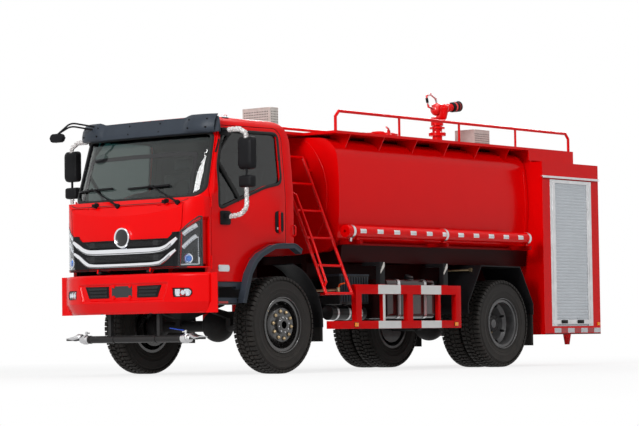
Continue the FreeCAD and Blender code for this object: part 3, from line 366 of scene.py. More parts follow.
# ---------------------------------------------------------------- finishes
@dataclass(frozen=True)
class Finish:
    """How a surface is coated: colour, gloss, relief and how dusty it is low down."""

    name: str
    colour: tuple[float, float, float]
    rough: float = 0.5
    metal: float = 0.0
    coat: float = 0.0
    sheen: float = 0.0
    specular: float = 0.16
    drift: float = 0.05
    drift_scale: float = 2.5
    grain_scale: float = 250.0
    grain_depth: float = 0.0002
    stretch: tuple[float, float, float] = (1.0, 1.0, 1.0)
    dust: float = 0.0
    dust_top: float = 1.1

    def shader(self) -> tuple[bpy.types.Material, Wiring, bpy.types.Node, bpy.types.NodeSocket]:
        """Start a material with its Principled shader.

        Returns:
            The material, its wiring, the shader node and the Object coordinates.
        """
        material = bpy.data.materials.new(self.name)
        material.use_nodes = True
        material.node_tree.nodes.clear()
        wires = Wiring(material.node_tree)
        place = wires.add("ShaderNodeTexCoord").outputs["Object"]
        surface = wires.add("ShaderNodeBsdfPrincipled", None, Metallic=self.metal)
        surface.inputs["Coat Weight"].default_value = self.coat
        surface.inputs["Coat Roughness"].default_value = 0.04
        surface.inputs["Sheen Weight"].default_value = self.sheen
        surface.inputs["Specular IOR Level"].default_value = self.specular
        target = wires.add("ShaderNodeOutputMaterial")
        wires.feed(target.inputs["Surface"], surface.outputs[0])
        return material, wires, surface, place

    def toned(self, wires: Wiring, place: bpy.types.NodeSocket, colour: Optional[object] = None
              ) -> tuple[bpy.types.NodeSocket, bpy.types.NodeSocket]:
        """Colour and roughness after drift and dust.

        Args:
            wires: The material's wiring.
            place: The coordinates of the surface.
            colour: A colour socket that stands in for the plain colour.

        Returns:
            The colour socket and the roughness socket.
        """
        drift = wires.add("ShaderNodeGroup", {"node_tree": EFFECTS.drift}, Vector=place,
                          Colour=(*self.colour, 1.0) if colour is None else colour, Roughness=self.rough,
                          Amount=self.drift, Scale=self.drift_scale)
        dust = wires.add("ShaderNodeGroup", {"node_tree": EFFECTS.dust}, Vector=place,
                         Colour=drift.outputs["Colour"], Roughness=drift.outputs["Roughness"],
                         Amount=self.dust, Top=self.dust_top)
        return dust.outputs["Colour"], dust.outputs["Roughness"]

    def material(self) -> bpy.types.Material:
        """The finished material, made once and then shared.

        Returns:
            The material.
        """
        known = bpy.data.materials.get(self.name)
        return known or self.build()

    def layers(self, wires: Wiring, place: bpy.types.NodeSocket
               ) -> tuple[Optional[bpy.types.NodeSocket], bpy.types.NodeSocket]:
        """What each kind of finish adds of its own.

        Args:
            wires: The material's wiring.
            place: The coordinates of the surface.

        Returns:
            A colour that stands in for the plain one, or None, and the normal.
        """
        grain = wires.add("ShaderNodeGroup", {"node_tree": EFFECTS.grain}, Vector=place,
                          Scale=self.grain_scale, Depth=self.grain_depth, Stretch=self.stretch)
        return None, grain.outputs["Normal"]

    def build(self) -> bpy.types.Material:
        """Make the material's nodes.

        Returns:
            The material.
        """
        material, wires, surface, place = self.shader()
        picked, normal = self.layers(wires, place)
        colour, rough = self.toned(wires, place, picked)
        wires.feed(surface.inputs["Base Color"], colour)
        wires.feed(surface.inputs["Roughness"], rough)
        wires.feed(surface.inputs["Normal"], normal)
        return material


@dataclass(frozen=True)
class TwoTone(Finish):
    """Paint that changes colour at a height: real two-tone paint on the guards, painted shade on the tank
    bearers.
    """

    lower: tuple[float, float, float] = (0.01, 0.01, 0.01)
    edge: float = 1.0

    def layers(self, wires: Wiring, place: bpy.types.NodeSocket
               ) -> tuple[Optional[bpy.types.NodeSocket], bpy.types.NodeSocket]:
        """The two colours, parted at the height.

        Args:
            wires: The material's wiring.
            place: The coordinates of the surface.

        Returns:
            The colour and the normal.
        """
        height = wires.add("ShaderNodeSeparateXYZ", None, place).outputs["Z"]
        share = wires.between(height, self.edge - EDGE_BLUR, self.edge + EDGE_BLUR, 0.0, 1.0)
        picked = wires.blend(share, (*self.lower, 1.0), (*self.colour, 1.0))
        return picked, super().layers(wires, place)[1]


@dataclass(frozen=True)
class Cells(Finish):
    """A surface of small cells: mesh, reflective sheeting or film, with its wall colour."""

    wall_colour: tuple[float, float, float] = (0.1, 0.1, 0.1)
    scale: float = 60.0
    wall: float = 0.08
    jumble: float = 0.0
    depth: float = 0.001

    def layers(self, wires: Wiring, place: bpy.types.NodeSocket
               ) -> tuple[Optional[bpy.types.NodeSocket], bpy.types.NodeSocket]:
        """The cells and their walls.

        Args:
            wires: The material's wiring.
            place: The coordinates of the surface.

        Returns:
            The colour and the normal.
        """
        cells = wires.add("ShaderNodeGroup", {"node_tree": EFFECTS.cells}, Vector=place, Scale=self.scale,
                          Wall=self.wall, Jumble=self.jumble, Depth=self.depth)
        picked = wires.blend(cells.outputs["Mask"], (*self.colour, 1.0), (*self.wall_colour, 1.0))
        return picked, cells.outputs["Normal"]


@dataclass(frozen=True)
class Glazing(Finish):
    """Clear or tinted glass, with a darker band above a height."""

    specular: float = 0.06
    ior: float = 1.45
    band: tuple[float, float, float] = (0.0, 0.25, 0.2)
    band_height: float = 99.0

    def build(self) -> bpy.types.Material:
        """Make the material's nodes.

        Returns:
            The material.
        """
        material, wires, surface, place = self.shader()
        height = wires.add("ShaderNodeSeparateXYZ", None, place).outputs["Z"]
        share = wires.between(height, self.band_height - BAND_BLUR, self.band_height, 0.0, 1.0)
        wires.feed(surface.inputs["Base Color"], wires.blend(share, (*self.colour, 1.0), (*self.band, 1.0)))
        surface.inputs["Transmission Weight"].default_value = 1.0
        surface.inputs["IOR"].default_value = self.ior
        haze = wires.add("ShaderNodeTexNoise", None, Vector=place, Scale=3.0)
        wires.feed(surface.inputs["Roughness"],
                   wires.between(haze.outputs["Fac"], 0.3, 0.8, self.rough, self.rough * 2.5))
        return material


@dataclass(frozen=True)
class Weave(Finish):
    """Woven seat cloth under a clear loose cover."""

    threads: float = 420.0

    def layers(self, wires: Wiring, place: bpy.types.NodeSocket
               ) -> tuple[Optional[bpy.types.NodeSocket], bpy.types.NodeSocket]:
        """The weave and the folds of its cover.

        Args:
            wires: The material's wiring.
            place: The coordinates of the surface.

        Returns:
            The colour and the normal.
        """
        across = wires.add("ShaderNodeTexWave", {"bands_direction": "Y"}, Vector=place, Scale=self.threads)
        along = wires.add("ShaderNodeTexWave", {"bands_direction": "Z"}, Vector=place, Scale=self.threads)
        cloth = wires.maths("MULTIPLY", across.outputs["Fac"], along.outputs["Fac"])
        folds = wires.add("ShaderNodeTexNoise", None, Vector=place, Scale=11.0, Detail=5.0, Distortion=1.4)
        # Raised threads are drawn lighter than the cloth: a painted highlight on the thread crests.
        lit = tuple(min(1.0, c * 2.2) for c in self.colour) + (1.0,)
        picked = wires.blend(cloth, (*self.colour, 1.0), lit)
        height = wires.maths("MULTIPLY_ADD", cloth, 0.03, folds.outputs["Fac"])
        bump = wires.add("ShaderNodeBump", None, Strength=0.7, Height=height, Distance=0.03)
        return picked, bump.outputs[0]


RED = Finish("gloss red paint", (0.66, 0.0003, 0.0009), 0.25, coat=0.06, specular=0.09, drift=0.02,
             grain_scale=90.0, grain_depth=0.0002, dust=0.03, dust_top=0.7)
LINING = Finish("grey cab lining", (0.030, 0.032, 0.036), 0.7, drift=0.1, drift_scale=4.0, grain_scale=300.0,
                grain_depth=0.0006)
# Tank bearers: the upper colour is the red darkened as painted shade, and the near-black lower colour below
# the edge is painted shadow under the tank.
BEARER_RED_PAINTED_SHADE = TwoTone("bearer red with painted shade", (0.30, 0.0004, 0.001), 0.4, drift=0.04, grain_scale=120.0,
                       grain_depth=0.0005, specular=0.05, lower=(0.022, 0.0002, 0.0004), edge=1.378)
GUARD_PAINT = TwoTone("black over red guard paint", (0.012, 0.012, 0.013), 0.36, specular=0.07, drift=0.04,
                      grain_scale=140.0, grain_depth=0.0004, dust=0.05, dust_top=0.9,
                      lower=(0.56, 0.0004, 0.0012), edge=0.944)
BLACK = Finish("black chassis paint", (0.008, 0.008, 0.009), 0.45, coat=0.15, drift=0.2, drift_scale=6.0,
               grain_scale=120.0, grain_depth=0.0006, dust=0.08, dust_top=0.9)
CAST = Finish("cast iron paint", (0.011, 0.011, 0.012), 0.62, drift=0.2, drift_scale=8.0, grain_scale=90.0,
              grain_depth=0.0015, dust=0.12, dust_top=0.9)
# The fuel tank's black is tinted red: a painted reflection of the red body around it.
GLOSS_BLACK_RED_REFLECTION = Finish("gloss black tank paint with painted red reflection", (0.022, 0.006, 0.006), 0.16, coat=0.6, drift=0.1,
                     grain_scale=60.0, grain_depth=0.0004, dust=0.05, dust_top=0.9)
GREY_MOULDING = Finish("dark grey moulding", (0.026, 0.033, 0.044), 0.42, drift=0.15, drift_scale=5.0,
                       grain_scale=420.0, grain_depth=0.0005, dust=0.05, dust_top=0.9)
BLACK_MOULDING = Finish("black moulding", (0.008, 0.008, 0.009), 0.44, specular=0.07, drift=0.12,
                        drift_scale=6.0, grain_scale=480.0, grain_depth=0.0004, dust=0.05)
PIANO_BLACK = Finish("gloss black trim", (0.01, 0.01, 0.011), 0.12, coat=0.6, drift=0.05, grain_scale=40.0,
                     grain_depth=0.0001)
RUBBER = Finish("black rubber", (0.012, 0.012, 0.012), 0.62, drift=0.15, drift_scale=7.0, grain_scale=300.0,
                grain_depth=0.0004, dust=0.1)
TYRE = Finish("tyre rubber", (0.0135, 0.0120, 0.0112), 0.62, drift=0.25, drift_scale=6.0, grain_scale=160.0,
              grain_depth=0.0009, dust=0.07, dust_top=1.2)
RIM_BLACK = Finish("black rim paint", (0.016, 0.015, 0.015), 0.24, coat=0.6, specular=0.5, drift=0.2,
                   drift_scale=9.0, grain_scale=110.0, grain_depth=0.0005, dust=0.05, dust_top=1.0)
RIM_GREY = Finish("grey rim paint", (0.085, 0.085, 0.088), 0.38, metal=0.3, coat=0.2, drift=0.2,
                  drift_scale=9.0, grain_scale=110.0, grain_depth=0.0005, dust=0.15, dust_top=1.1)
CHROME = Finish("bright chrome", (0.78, 0.79, 0.82), 0.09, metal=1.0, drift=0.03, grain_scale=14.0,
                grain_depth=0.0006)
BRIGHT_STEEL = Finish("bright steel", (0.56, 0.56, 0.57), 0.3, metal=1.0, drift=0.12, drift_scale=12.0,
                      grain_scale=300.0, grain_depth=0.0003, stretch=(1.0, 1.0, 8.0), dust=0.15)
BRASS = Finish("brass plating", (0.42, 0.32, 0.19), 0.36, metal=0.9, drift=0.25, drift_scale=30.0,
               grain_scale=260.0, grain_depth=0.0003)
SHUTTER_SILVER = Finish("silver anodised slats", (0.50, 0.53, 0.56), 0.45, metal=0.2, drift=0.04,
                        grain_scale=500.0, grain_depth=0.0002, stretch=(0.1, 1.0, 1.0), dust=0.12)
GALVANISED = Finish("galvanised sheet", (0.50, 0.48, 0.45), 0.45, metal=0.45, drift=0.14, drift_scale=18.0,
                    grain_scale=120.0, grain_depth=0.0004)
LABEL_WHITE = Finish("plain white film", (0.62, 0.62, 0.61), 0.5, drift=0.05, grain_scale=40.0,
                     grain_depth=0.0005)
TAPE_WHITE = Cells("white reflective sheet", (0.70, 0.71, 0.72), 0.34, coat=0.5, drift=0.05,
                   wall_colour=(0.52, 0.53, 0.55), scale=140.0, wall=0.06, depth=0.0006, dust=0.12)
TAPE_RED = Cells("red reflective sheet", (0.55, 0.012, 0.015), 0.34, coat=0.5, drift=0.05,
                 wall_colour=(0.35, 0.008, 0.01), scale=140.0, wall=0.06, depth=0.0006, dust=0.12)
GRILLE_MESH = Cells("black grille mesh", (0.003, 0.003, 0.003), 0.5, wall_colour=(0.035, 0.035, 0.037),
                    scale=75.0, wall=0.13, jumble=0.0, depth=0.01)
CRINKLED_FILM = Cells("crinkled white film", (0.78, 0.76, 0.75), 0.2, coat=0.6, drift=0.3, drift_scale=30.0,
                      wall_colour=(0.45, 0.42, 0.41), scale=42.0, wall=0.11, jumble=1.0, depth=0.02)
PERFORATED = Finish("hole edge shadow", (0.03, 0.03, 0.03), 0.8, drift=0.1, grain_scale=60.0)
WINDSCREEN_GLASS = Glazing("tinted window glass", (0.34, 0.41, 0.385), 0.01, band=(0.03, 0.17, 0.16),
                           band_height=2.435)
SIDE_GLASS = Glazing("side window glass", (0.16, 0.18, 0.18), 0.01)
CLEAR_LENS = Glazing("clear lens", (0.93, 0.95, 0.97), 0.02, specular=0.35, ior=1.3)
AMBER_LENS = Glazing("amber lens", (0.95, 0.42, 0.03), 0.06, ior=1.4)
RED_LENS = Glazing("red lens", (0.8, 0.03, 0.02), 0.06, ior=1.4)
AMBER_BODY = Finish("amber lamp moulding", (0.85, 0.26, 0.008), 0.2, coat=0.6, drift=0.08, drift_scale=60.0)
BLUE_COATING = Finish("blue lens coating", (0.03, 0.16, 0.55), 0.06, metal=0.6, coat=1.0, drift=0.4,
                      drift_scale=60.0)
LAMP_BACK = Finish("lamp inner bezel", (0.020, 0.021, 0.023), 0.3, coat=0.3, drift=0.15, grain_scale=500.0,
                   grain_depth=0.0006)
LIGHT_GUIDE = Finish("milky light guide", (0.62, 0.64, 0.66), 0.3, coat=0.6, drift=0.1, drift_scale=40.0)
SEAT_CLOTH = Weave("seat cloth and clear cover", (0.018, 0.020, 0.024), 0.3, coat=0.7, sheen=0.2, drift=0.2)
DASH_SKIN = Finish("dashboard skin", (0.022, 0.023, 0.026), 0.6, drift=0.1, grain_scale=420.0,
                   grain_depth=0.0008)
BLUE_HANDLE = Finish("blue grip", (0.02, 0.06, 0.4), 0.4, drift=0.1)
ORANGE = Finish("orange valve grip", (0.85, 0.10, 0.01), 0.4, drift=0.1)


# ---------------------------------------------------------------- mesh work
def rounded(points: Sequence[Point], radius: float, steps: int = 5, closed: bool = True) -> list[Vector]:
    """Round the corners of a line.

    Args:
        points: The line's corners, in two or three dimensions.
        radius: How far from each corner the curve starts.
        steps: Points on each curve.
        closed: Whether the line runs back to its first point.

    Returns:
        The rounded line's points.
    """
    corners = [Vector(p) for p in points]
    count = len(corners)
    line: list[Vector] = []
    for i, here in enumerate(corners):
        if not closed and i in (0, count - 1):
            line.append(here)
            continue
        before, after = corners[i - 1], corners[(i + 1) % count]
        reach = min(radius, (before - here).length * 0.48, (after - here).length * 0.48)
        start = here + (before - here).normalized() * reach
        end = here + (after - here).normalized() * reach
        for k in range(steps + 1):
            t = k / steps
            line.append(start * (1 - t) ** 2 + here * 2 * t * (1 - t) + end * t ** 2)
    return line


def spaced(line: Sequence[Vector], gap: float, closed: bool = True) -> list[Vector]:
    """Add points so that no run of the line is longer than gap.

    Args:
        line: The line's points.
        gap: The longest run that is left.
        closed: Whether it runs back to its first point.

    Returns:
        The line's old and new points.
    """
    result: list[Vector] = []
    ends = list(line) + [line[0]] if closed else list(line)
    for a, b in zip(ends, ends[1:]):
        parts = max(1, math.ceil((b - a).length / gap))
        result += [a.lerp(b, k / parts) for k in range(parts)]
    if not closed:
        result.append(ends[-1])
    return result


def ring_profile(radius: float, sides: int, squash: float = 1.0) -> list[tuple[float, float]]:
    """A round or oval section for a swept piece.

    Args:
        radius: Half its width.
        sides: How many flats it has.
        squash: Its height as a share of its width.

    Returns:
        The section's points.
    """
    return [(radius * math.cos(2 * math.pi * k / sides),
             radius * squash * math.sin(2 * math.pi * k / sides)) for k in range(sides)]


def strip_profile(width: float, height: float, sink: float = 0.003) -> list[tuple[float, float]]:
    """The section of a flat strip with eased top edges, sunk a little into what it lies on.

    Args:
        width: How wide it is.
        height: How high it stands.
        sink: How far its back is under the surface.

    Returns:
        The section's points.
    """
    half, ease = width / 2, min(width, height) * 0.3
    return [(-half, -sink), (half, -sink), (half, height - ease), (half - ease, height),
            (-half + ease, height), (-half, height - ease)]


def crown_profile(width: float, height: float, sink: float = 0.004, steps: int = 7
                  ) -> list[tuple[float, float]]:
    """The section of a convex bar.

    Args:
        width: How wide it is.
        height: How high it stands.
        sink: How far its back is under the surface.
        steps: How many flats its top has.

    Returns:
        The section's points.
    """
    half = width / 2
    top = [(half * math.cos(math.pi * k / steps),
            height * math.sin(math.pi * k / steps)) for k in range(steps + 1)]
    return [(-half, -sink), (half, -sink)] + top


class Stock:
    """A mesh under way, to which pieces of stock are added."""

    def __init__(self) -> None:
        """Start with nothing."""
        self.mesh = bmesh.new()

    def block(self, low: Point, high: Point, ease: float = 0.0) -> "Stock":
        """Add a block between two corners, its edges eased.

        Args:
            low: Its lowest corner.
            high: Its highest corner.
            ease: How much its edges are eased.

        Returns:
            The same stock.
        """
        low, high = Vector(low), Vector(high)
        made = bmesh.ops.create_cube(self.mesh, size=1.0)["verts"]
        for vertex in made:
            for i in range(3):
                vertex.co[i] = (low[i] + high[i]) / 2 + vertex.co[i] * (high[i] - low[i])
        if ease:
            edges = list({e for v in made for e in v.link_edges})
            bmesh.ops.bevel(self.mesh, geom=edges, offset=ease, segments=2, profile=0.6, affect="EDGES",
                            clamp_overlap=True)
        return self

    def plate(self, outline: Sequence[Point], axis: Axis, near: float, far: float, ease: float = 0.0
              ) -> "Stock":
        """Add a plate with an outline.

        Args:
            outline: Its corners in the two other directions, in X, Y, Z order.
            axis: The direction through its thickness.
            near: Where it starts along the axis.
            far: Where it ends along the axis.
            ease: How much its edges are eased.

        Returns:
            The same stock.
        """
        def place(point: Point, level: float) -> Vector:
            """The point in space for an outline point."""
            values = list(point)
            values.insert(axis.value, level)
            return Vector(values)
        front = [self.mesh.verts.new(place(p, near)) for p in outline]
        back = [self.mesh.verts.new(place(p, far)) for p in outline]
        self.mesh.faces.new(front)
        self.mesh.faces.new(back[::-1])
        count = len(outline)
        for i in range(count):
            j = (i + 1) % count
            self.mesh.faces.new((front[j], front[i], back[i], back[j]))
        if ease:
            rims = [e for e in {e for v in front + back for e in v.link_edges}
                    if (e.verts[0] in front) == (e.verts[1] in front)]
            bmesh.ops.bevel(self.mesh, geom=rims, offset=ease, segments=2, profile=0.6, affect="EDGES",
                            clamp_overlap=True)
        return self

    def rings(self, loops: Sequence[Sequence[Vector]], closed: bool = False) -> "Stock":
        """Join a row of equal loops into a skin, with end caps unless the row is closed.

        Args:
            loops: The loops, each with as many points.
            closed: Whether it runs back to its first point.

        Returns:
            The same stock.
        """
        made = [[self.mesh.verts.new(p) for p in loop] for loop in loops]
        size = len(made[0])
        pairs = list(zip(made, made[1:])) + ([(made[-1], made[0])] if closed else [])
        for first, second in pairs:
            for i in range(size):
                j = (i + 1) % size
                self.mesh.faces.new((first[i], first[j], second[j], second[i]))
        if not closed:
            self.mesh.faces.new(made[0][::-1])
            self.mesh.faces.new(made[-1])
        return self

    def swept(self, line: Sequence[Point], profile: Sequence[Point], ups: Optional[Sequence[Vector]] = None,
              closed: bool = False, scale: Optional[Callable[[float], float]] = None) -> "Stock":
        """Sweep a section along a line.

        Args:
            line: The points that the section follows.
            profile: The section's points, across and up.
            ups: The up direction at each point; left out, it is carried along the line.
            closed: Whether the line runs back to its start.
            scale: The section's size as a function of the share of the way along.

        Returns:
            The same stock.
        """
        points = [Vector(p) for p in line]
        count = len(points)
        loops = []
        up = Vector((0, 0, 1))
        for i, here in enumerate(points):
            before = points[i - 1] if closed or i else here
            after = points[(i + 1) % count] if closed or i < count - 1 else here
            along = (after - before).normalized()
            if ups is not None:
                up = ups[i]
            elif abs(along.dot(up)) > 0.98:
                up = Vector((1, 0, 0)) if abs(along.x) < 0.9 else Vector((0, 1, 0))
            side = along.cross(up).normalized()
            rise = side.cross(along).normalized()
            if ups is None:
                up = rise
            size = scale(i / max(1, count - 1)) if scale else 1.0
            loops.append([here + side * (p[0] * size) + rise * (p[1] * size) for p in profile])
        return self.rings(loops, closed)

    def tube(self, line: Sequence[Point], radius: float, sides: int = 12, bend: float = 0.0) -> "Stock":
        """Add a round tube along a line, its corners bent.

        Args:
            line: The points on the tube's middle line.
            radius: Half its thickness.
            sides: How many flats it has.
            bend: How far from a corner the bend starts.

        Returns:
            The same stock.
        """
        path = rounded(line, bend, 6, closed=False) if bend else [Vector(p) for p in line]
        return self.swept(path, ring_profile(radius, sides))

    def turned(self, profile: Sequence[Point], centre: Point, axis: Point = (0, 1, 0), steps: int = 48
               ) -> "Stock":
        """Turn a closed section round an axis.

        Args:
            profile: The section's points: distance along the axis, then radius.
            centre: A point on the axis.
            axis: The axis's direction.
            steps: How many flats the turned piece has.

        Returns:
            The same stock.
        """
        centre, along = Vector(centre), Vector(axis).normalized()
        side = along.orthogonal().normalized()
        rise = along.cross(side)
        loops = []
        for k in range(steps):
            angle = 2 * math.pi * k / steps
            out = side * math.cos(angle) + rise * math.sin(angle)
            loops.append([centre + along * t + out * r for t, r in profile])
        self.rings(loops, closed=True)
        bmesh.ops.remove_doubles(self.mesh, verts=self.mesh.verts[:], dist=1e-6)
        return self

    def piece(self, name: str, finish: Finish, body: str, slot: Slot, crease: float = 32.0,
              replaces: Sequence[str] = ()) -> bpy.types.Object:
        """Finish the mesh as a piece of the truck.

        Args:
            name: The piece's name.
            finish: Its finish.
            body: The body that it rides on.
            slot: The record's slot; it is not used.
            crease: The angle in degrees above which an edge stays sharp.
            replaces: CAD nodes that it stands for.

        Returns:
            The piece's object.
        """
        bmesh.ops.dissolve_degenerate(self.mesh, edges=self.mesh.edges[:], dist=1e-6)
        bmesh.ops.recalc_face_normals(self.mesh, faces=self.mesh.faces[:])
        shade(self.mesh, crease)
        mesh = bpy.data.meshes.new(name)
        self.mesh.to_mesh(mesh)
        self.mesh.free()
        mesh.materials.append(finish.material())
        return settle(bpy.data.objects.new(name, mesh), body, replaces)


def shade(mesh: bmesh.types.BMesh, crease: float) -> None:
    """Smooth every face and keep edges sharper than crease, in degrees.

    Args:
        mesh: The mesh under way.
        crease: The angle in degrees.
    """
    limit = math.radians(crease)
    for face in mesh.faces:
        face.smooth = True
    for edge in mesh.edges:
        edge.smooth = len(edge.link_faces) == 2 and edge.calc_face_angle(0.0) < limit


def settle(piece: bpy.types.Object, body: str, replaces: Sequence[str] = ()) -> bpy.types.Object:
    """Put a piece in the scene on its body and the CAD nodes that it stands for.

    Args:
        piece: The piece's object.
        body: The body that it rides on.
        replaces: CAD nodes that it stands for.

    Returns:
        The same object.
    """
    if piece.name not in bpy.context.scene.collection.objects:
        bpy.context.scene.collection.objects.link(piece)
    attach(piece, body.value if isinstance(body, Body) else body)
    if replaces:
        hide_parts(*replaces)
    LOG.info("%s: %d faces on %s", piece.name, len(piece.data.polygons), body)
    return piece


@dataclass(frozen=True)
class Spot:
    """A point on a skin and the direction out of it."""

    at: Vector
    out: Vector

    def lifted(self, height: float) -> Vector:
        """The point a height above the skin.

        Args:
            height: How far above the skin.

        Returns:
            The point.
        """
        return self.at + self.out * height


class Skin:
    """The outside of some CAD nodes, on which trim is laid."""

    def __init__(self, *nodes: str) -> None:
        """Gather the faces of the nodes.

        Args:
            nodes: The CAD nodes.
        """
        points: list[Vector] = []
        faces: list[tuple[int, ...]] = []
        for name in nodes:
            mesh = frame["nodes"][name].data
            start = len(points)
            points += [v.co.copy() for v in mesh.vertices]
            faces += [tuple(start + i for i in p.vertices) for p in mesh.polygons]
        self.tree = BVHTree.FromPolygons(points, faces)

    def reach(self, start: Point, direction: Point) -> Spot:
        """The first spot met from start along direction.

        Args:
            start: Where the ray starts.
            direction: Where it goes.

        Returns:
            The spot.
        """
        at, out, _, _ = self.tree.ray_cast(Vector(start), Vector(direction))
        if at is None:
            at, out, _, _ = self.tree.find_nearest(Vector(start) + Vector(direction) * 2.0)
        if out.dot(Vector(direction)) > 0:
            out = -out
        return Spot(at, out)

    def ahead(self, y: float, z: float) -> Spot:
        """The spot seen from the front at y and z.

        Args:
            y: The place across the truck.
            z: The height.

        Returns:
            The spot.
        """
        return self.reach((FAR_AHEAD, y, z), (-1, 0, 0))

    def beside(self, x: float, z: float, side: float) -> Spot:
        """The spot seen from one side at x and z.

        Args:
            x: The place along the truck.
            z: The height.
            side: 1 for the left, -1 for the right.

        Returns:
            The spot.
        """
        return self.reach((x, FAR_BESIDE * side, z), (0, -side, 0))

    def strip(self, stock: Stock, spots: Sequence[Spot], profile: Sequence[Point], closed: bool = False,
              scale: Optional[Callable[[float], float]] = None) -> Stock:
        """Lay a swept strip along a row of spots.

        Args:
            stock: The stock to add to.
            spots: The spots that it follows.
            profile: Its section's points, across and up.
            closed: Whether it runs back to its first point.
            scale: The section's size by the share of the way along.

        Returns:
            The same stock.
        """
        return stock.swept([s.at for s in spots], profile, [s.out for s in spots], closed, scale)


def laid_plate(stock: Stock, rows: Sequence[Sequence[Spot]], height: float, sink: float = 0.004) -> Stock:
    """Add a plate that follows a skin.

    Args:
        stock: The stock to add to.
        rows: Spots in rows of equal length.
        height: How proud of the skin it stands.
        sink: How far its back is under the skin.

    Returns:
        The same stock.
    """
    tops = [[stock.mesh.verts.new(s.lifted(height)) for s in row] for row in rows]
    backs = [[stock.mesh.verts.new(s.lifted(-sink)) for s in row] for row in rows]
    last, end = len(rows) - 1, len(rows[0]) - 1
    for i in range(last):
        for j in range(end):
            stock.mesh.faces.new((tops[i][j], tops[i][j + 1], tops[i + 1][j + 1], tops[i + 1][j]))
            stock.mesh.faces.new((backs[i + 1][j], backs[i + 1][j + 1], backs[i][j + 1], backs[i][j]))
    for i in range(last):
        for j in (0, end):
            stock.mesh.faces.new((tops[i][j], tops[i + 1][j], backs[i + 1][j], backs[i][j]))
    for j in range(end):
        for i in (0, last):
            stock.mesh.faces.new((tops[i][j], tops[i][j + 1], backs[i][j + 1], backs[i][j]))
    return stock


def oblong(x0: float, y0: float, x1: float, y1: float) -> list[tuple[float, float]]:
    """The outline of a rectangle between two corners.

    Args:
        x0: The first corner, across.
        y0: The first corner, up.
        x1: The second corner, across.
        y1: The second corner, up.

    Returns:
        The outline's corners.
    """
    return [(x0, y0), (x1, y0), (x1, y1), (x0, y1)]


def rod(low: float, high: float, radius: float) -> list[tuple[float, float]]:
    """The section of a solid round piece between two places on its axis.

    Args:
        low: Where it starts.
        high: Where it ends.
        radius: Its radius.

    Returns:
        The section's points.
    """
    return [(low, 0.0), (low, radius), (high, radius), (high, 0.0)]


def pipe(low: float, high: float, inner: float, outer: float) -> list[tuple[float, float]]:
    """The section of a hollow round piece between two places on its axis.

    Args:
        low: Where it starts.
        high: Where it ends.
        inner: The radius of its hole.
        outer: Its radius.

    Returns:
        The section's points.
    """
    return [(low, inner), (low, outer), (high, outer), (high, inner)]


def grid(low: float, high: float, count: int) -> list[float]:
    """Evenly spaced values from low to high.

    Args:
        low: The first value.
        high: The last value.
        count: How many values.

    Returns:
        The values.
    """
    return [low + (high - low) * i / (count - 1) for i in range(count)]


